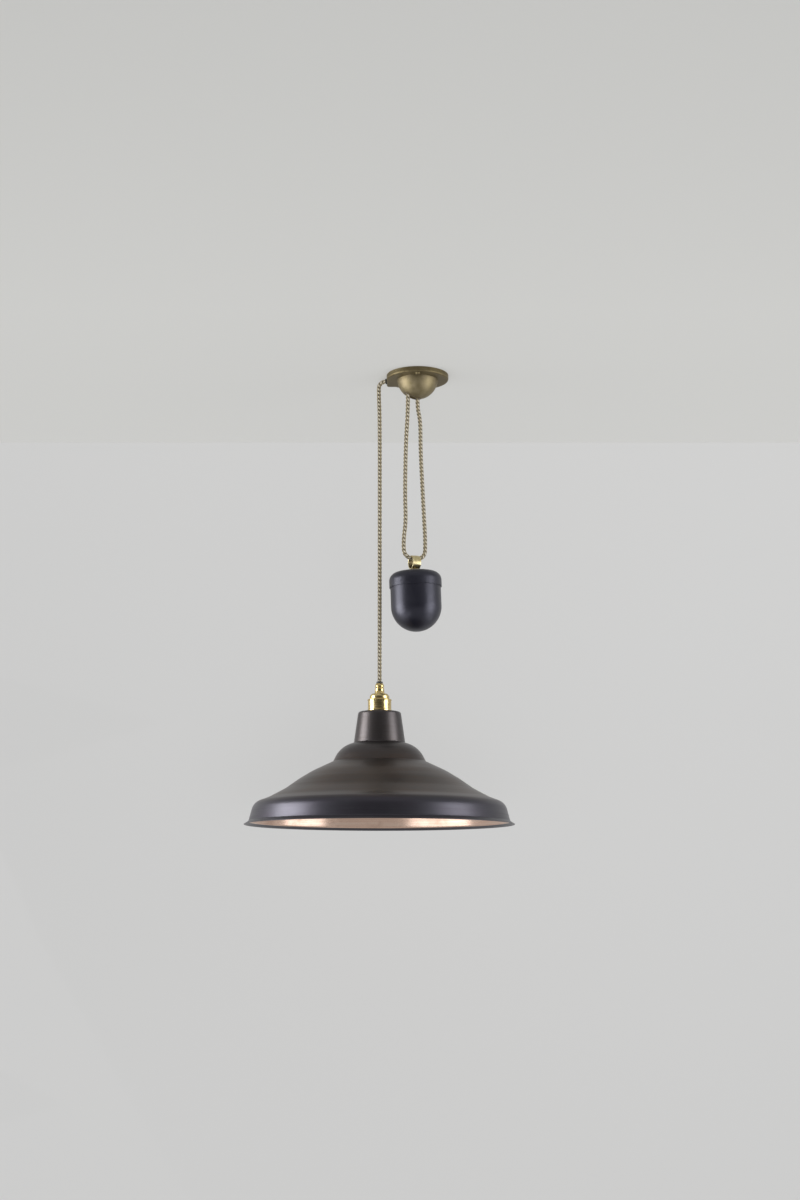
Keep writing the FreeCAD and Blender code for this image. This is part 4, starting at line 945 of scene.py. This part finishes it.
def roomPlane(name, colours, corners):
    # seen from its face only, so that a look from behind goes through it
    paintColour, glowColour = colours
    material, tree = newMaterial(name)
    paint = addNode(tree, "ShaderNodeBsdfDiffuse", {"Color": paintColour}, out=0)
    depth = addNode(tree, "ShaderNodeSeparateXYZ", {0: objectSpace(tree)}, out=1)
    fall = addNode(tree, "ShaderNodeMapRange", {
        "Value": depth, "From Min": room["glowFalls"][0], "From Max": room["glowFalls"][1],
        "To Min": room["glowInFront"]}, out=0)
    glow = addNode(tree, "ShaderNodeEmission", {"Color": glowColour, "Strength": fall}, out=0)
    lit = addNode(tree, "ShaderNodeAddShader", {0: paint, 1: glow}, out=0)
    clear = addNode(tree, "ShaderNodeBsdfTransparent", out=0)
    back = addNode(tree, "ShaderNodeNewGeometry", out="Backfacing")
    mix = addNode(tree, "ShaderNodeMixShader", {0: back, 1: lit, 2: clear}, out=0)
    addNode(tree, "ShaderNodeOutputMaterial", {"Surface": mix})
    mesh = bpy.data.meshes.new(name)
    mesh.from_pydata(corners, [], [(0, 1, 2, 3)])
    mesh.materials.append(material)
    plane = bpy.data.objects.new(name, mesh)
    scene.collection.objects.link(plane)


reach, wallAt = room["reach"], room["wallAt"]
top, low, front = room["ceilingAt"], room["floorAt"], room["ceilingFront"]
roomPlane("ceilingPlane", room["ceiling"], [
    (-reach, front, top), (-reach, wallAt, top), (reach, wallAt, top), (reach, front, top)])
roomPlane("wallPlane", room["wall"], [
    (-reach, wallAt, low), (reach, wallAt, low), (reach, wallAt, top), (-reach, wallAt, top)])
roomPlane("floorPlane", room["floor"], [
    (-reach, -reach, low), (reach, -reach, low), (reach, wallAt, low), (-reach, wallAt, low)])

lamps = [
    # name, place, aim, width, height, watts, what sees it: metal and gloss, or matt surfaces
    ("leftPanel", (-1.27, -0.17, -0.52), (-0.03, 0, -0.52), 0.75, 0.94, 21, "gloss"),
    ("rightPanel", (1.18, -0.47, -0.52), (-0.03, 0, -0.52), 0.75, 0.94, 14, "gloss"),
    ("leftLow", (-0.97, -0.36, -1.22), (-0.06, 0.10, -0.70), 1.34, 0.36, 2.8, "gloss"),
    ("rightLow", (1.00, -0.06, -1.20), (-0.06, 0.10, -0.70), 0.90, 0.36, 1.8, "gloss"),
    ("leftFill", (-1.27, -0.17, -0.52), (-0.03, 0, -0.52), 0.75, 0.94, 7.5, "matt"),
    ("rightFill", (1.18, -0.47, -0.42), (-0.03, 0, -0.42), 0.75, 0.94, 8.5, "matt"),
    ("frontFill", (0.2, -3.6, -1.5), (0, 0.4, -0.6), 2.4, 1.2, 34, "matt"),
]
for name, place, aim, width, height, watts, seenBy in lamps:
    light = bpy.data.lights.new(name, "AREA")
    light.shape = "RECTANGLE"
    light.size = width
    light.size_y = height
    light.energy = watts
    lampObject = bpy.data.objects.new(name, light)
    lampObject.location = place
    lampObject.rotation_euler = (Vector(aim) - Vector(place)).to_track_quat("-Z", "Y").to_euler()
    lampObject.visible_camera = False
    lampObject.visible_glossy = seenBy == "gloss"
    lampObject.visible_diffuse = seenBy == "matt"
    scene.collection.objects.link(lampObject)

# the light of the room's unseen half, darker at the front, where the camera stands
sky = {"front": "#4d4d4f", "back": "#d2d3d5", "strength": 0.7}
world = bpy.data.worlds.new("room light")
world.use_nodes = True
tree = world.node_tree
tree.nodes.clear()
direction = addNode(tree, "ShaderNodeTexCoord", out="Generated")
depth = addNode(tree, "ShaderNodeSeparateXYZ", {0: direction}, out=1)
isBack = addNode(tree, "ShaderNodeMapRange", {"Value": depth, "From Min": -1.0, "From Max": 0.2}, out=0)
skyColour = addNode(tree, "ShaderNodeMix", {"Factor": isBack, 6: sky["front"], 7: sky["back"]}, out=2, data_type="RGBA")
background = addNode(tree, "ShaderNodeBackground", {"Color": skyColour, "Strength": sky["strength"]}, out=0)
addNode(tree, "ShaderNodeOutputWorld", {"Surface": background})
scene.world = world
scene.view_settings.view_transform = "Standard"
print("room and lamps ready")
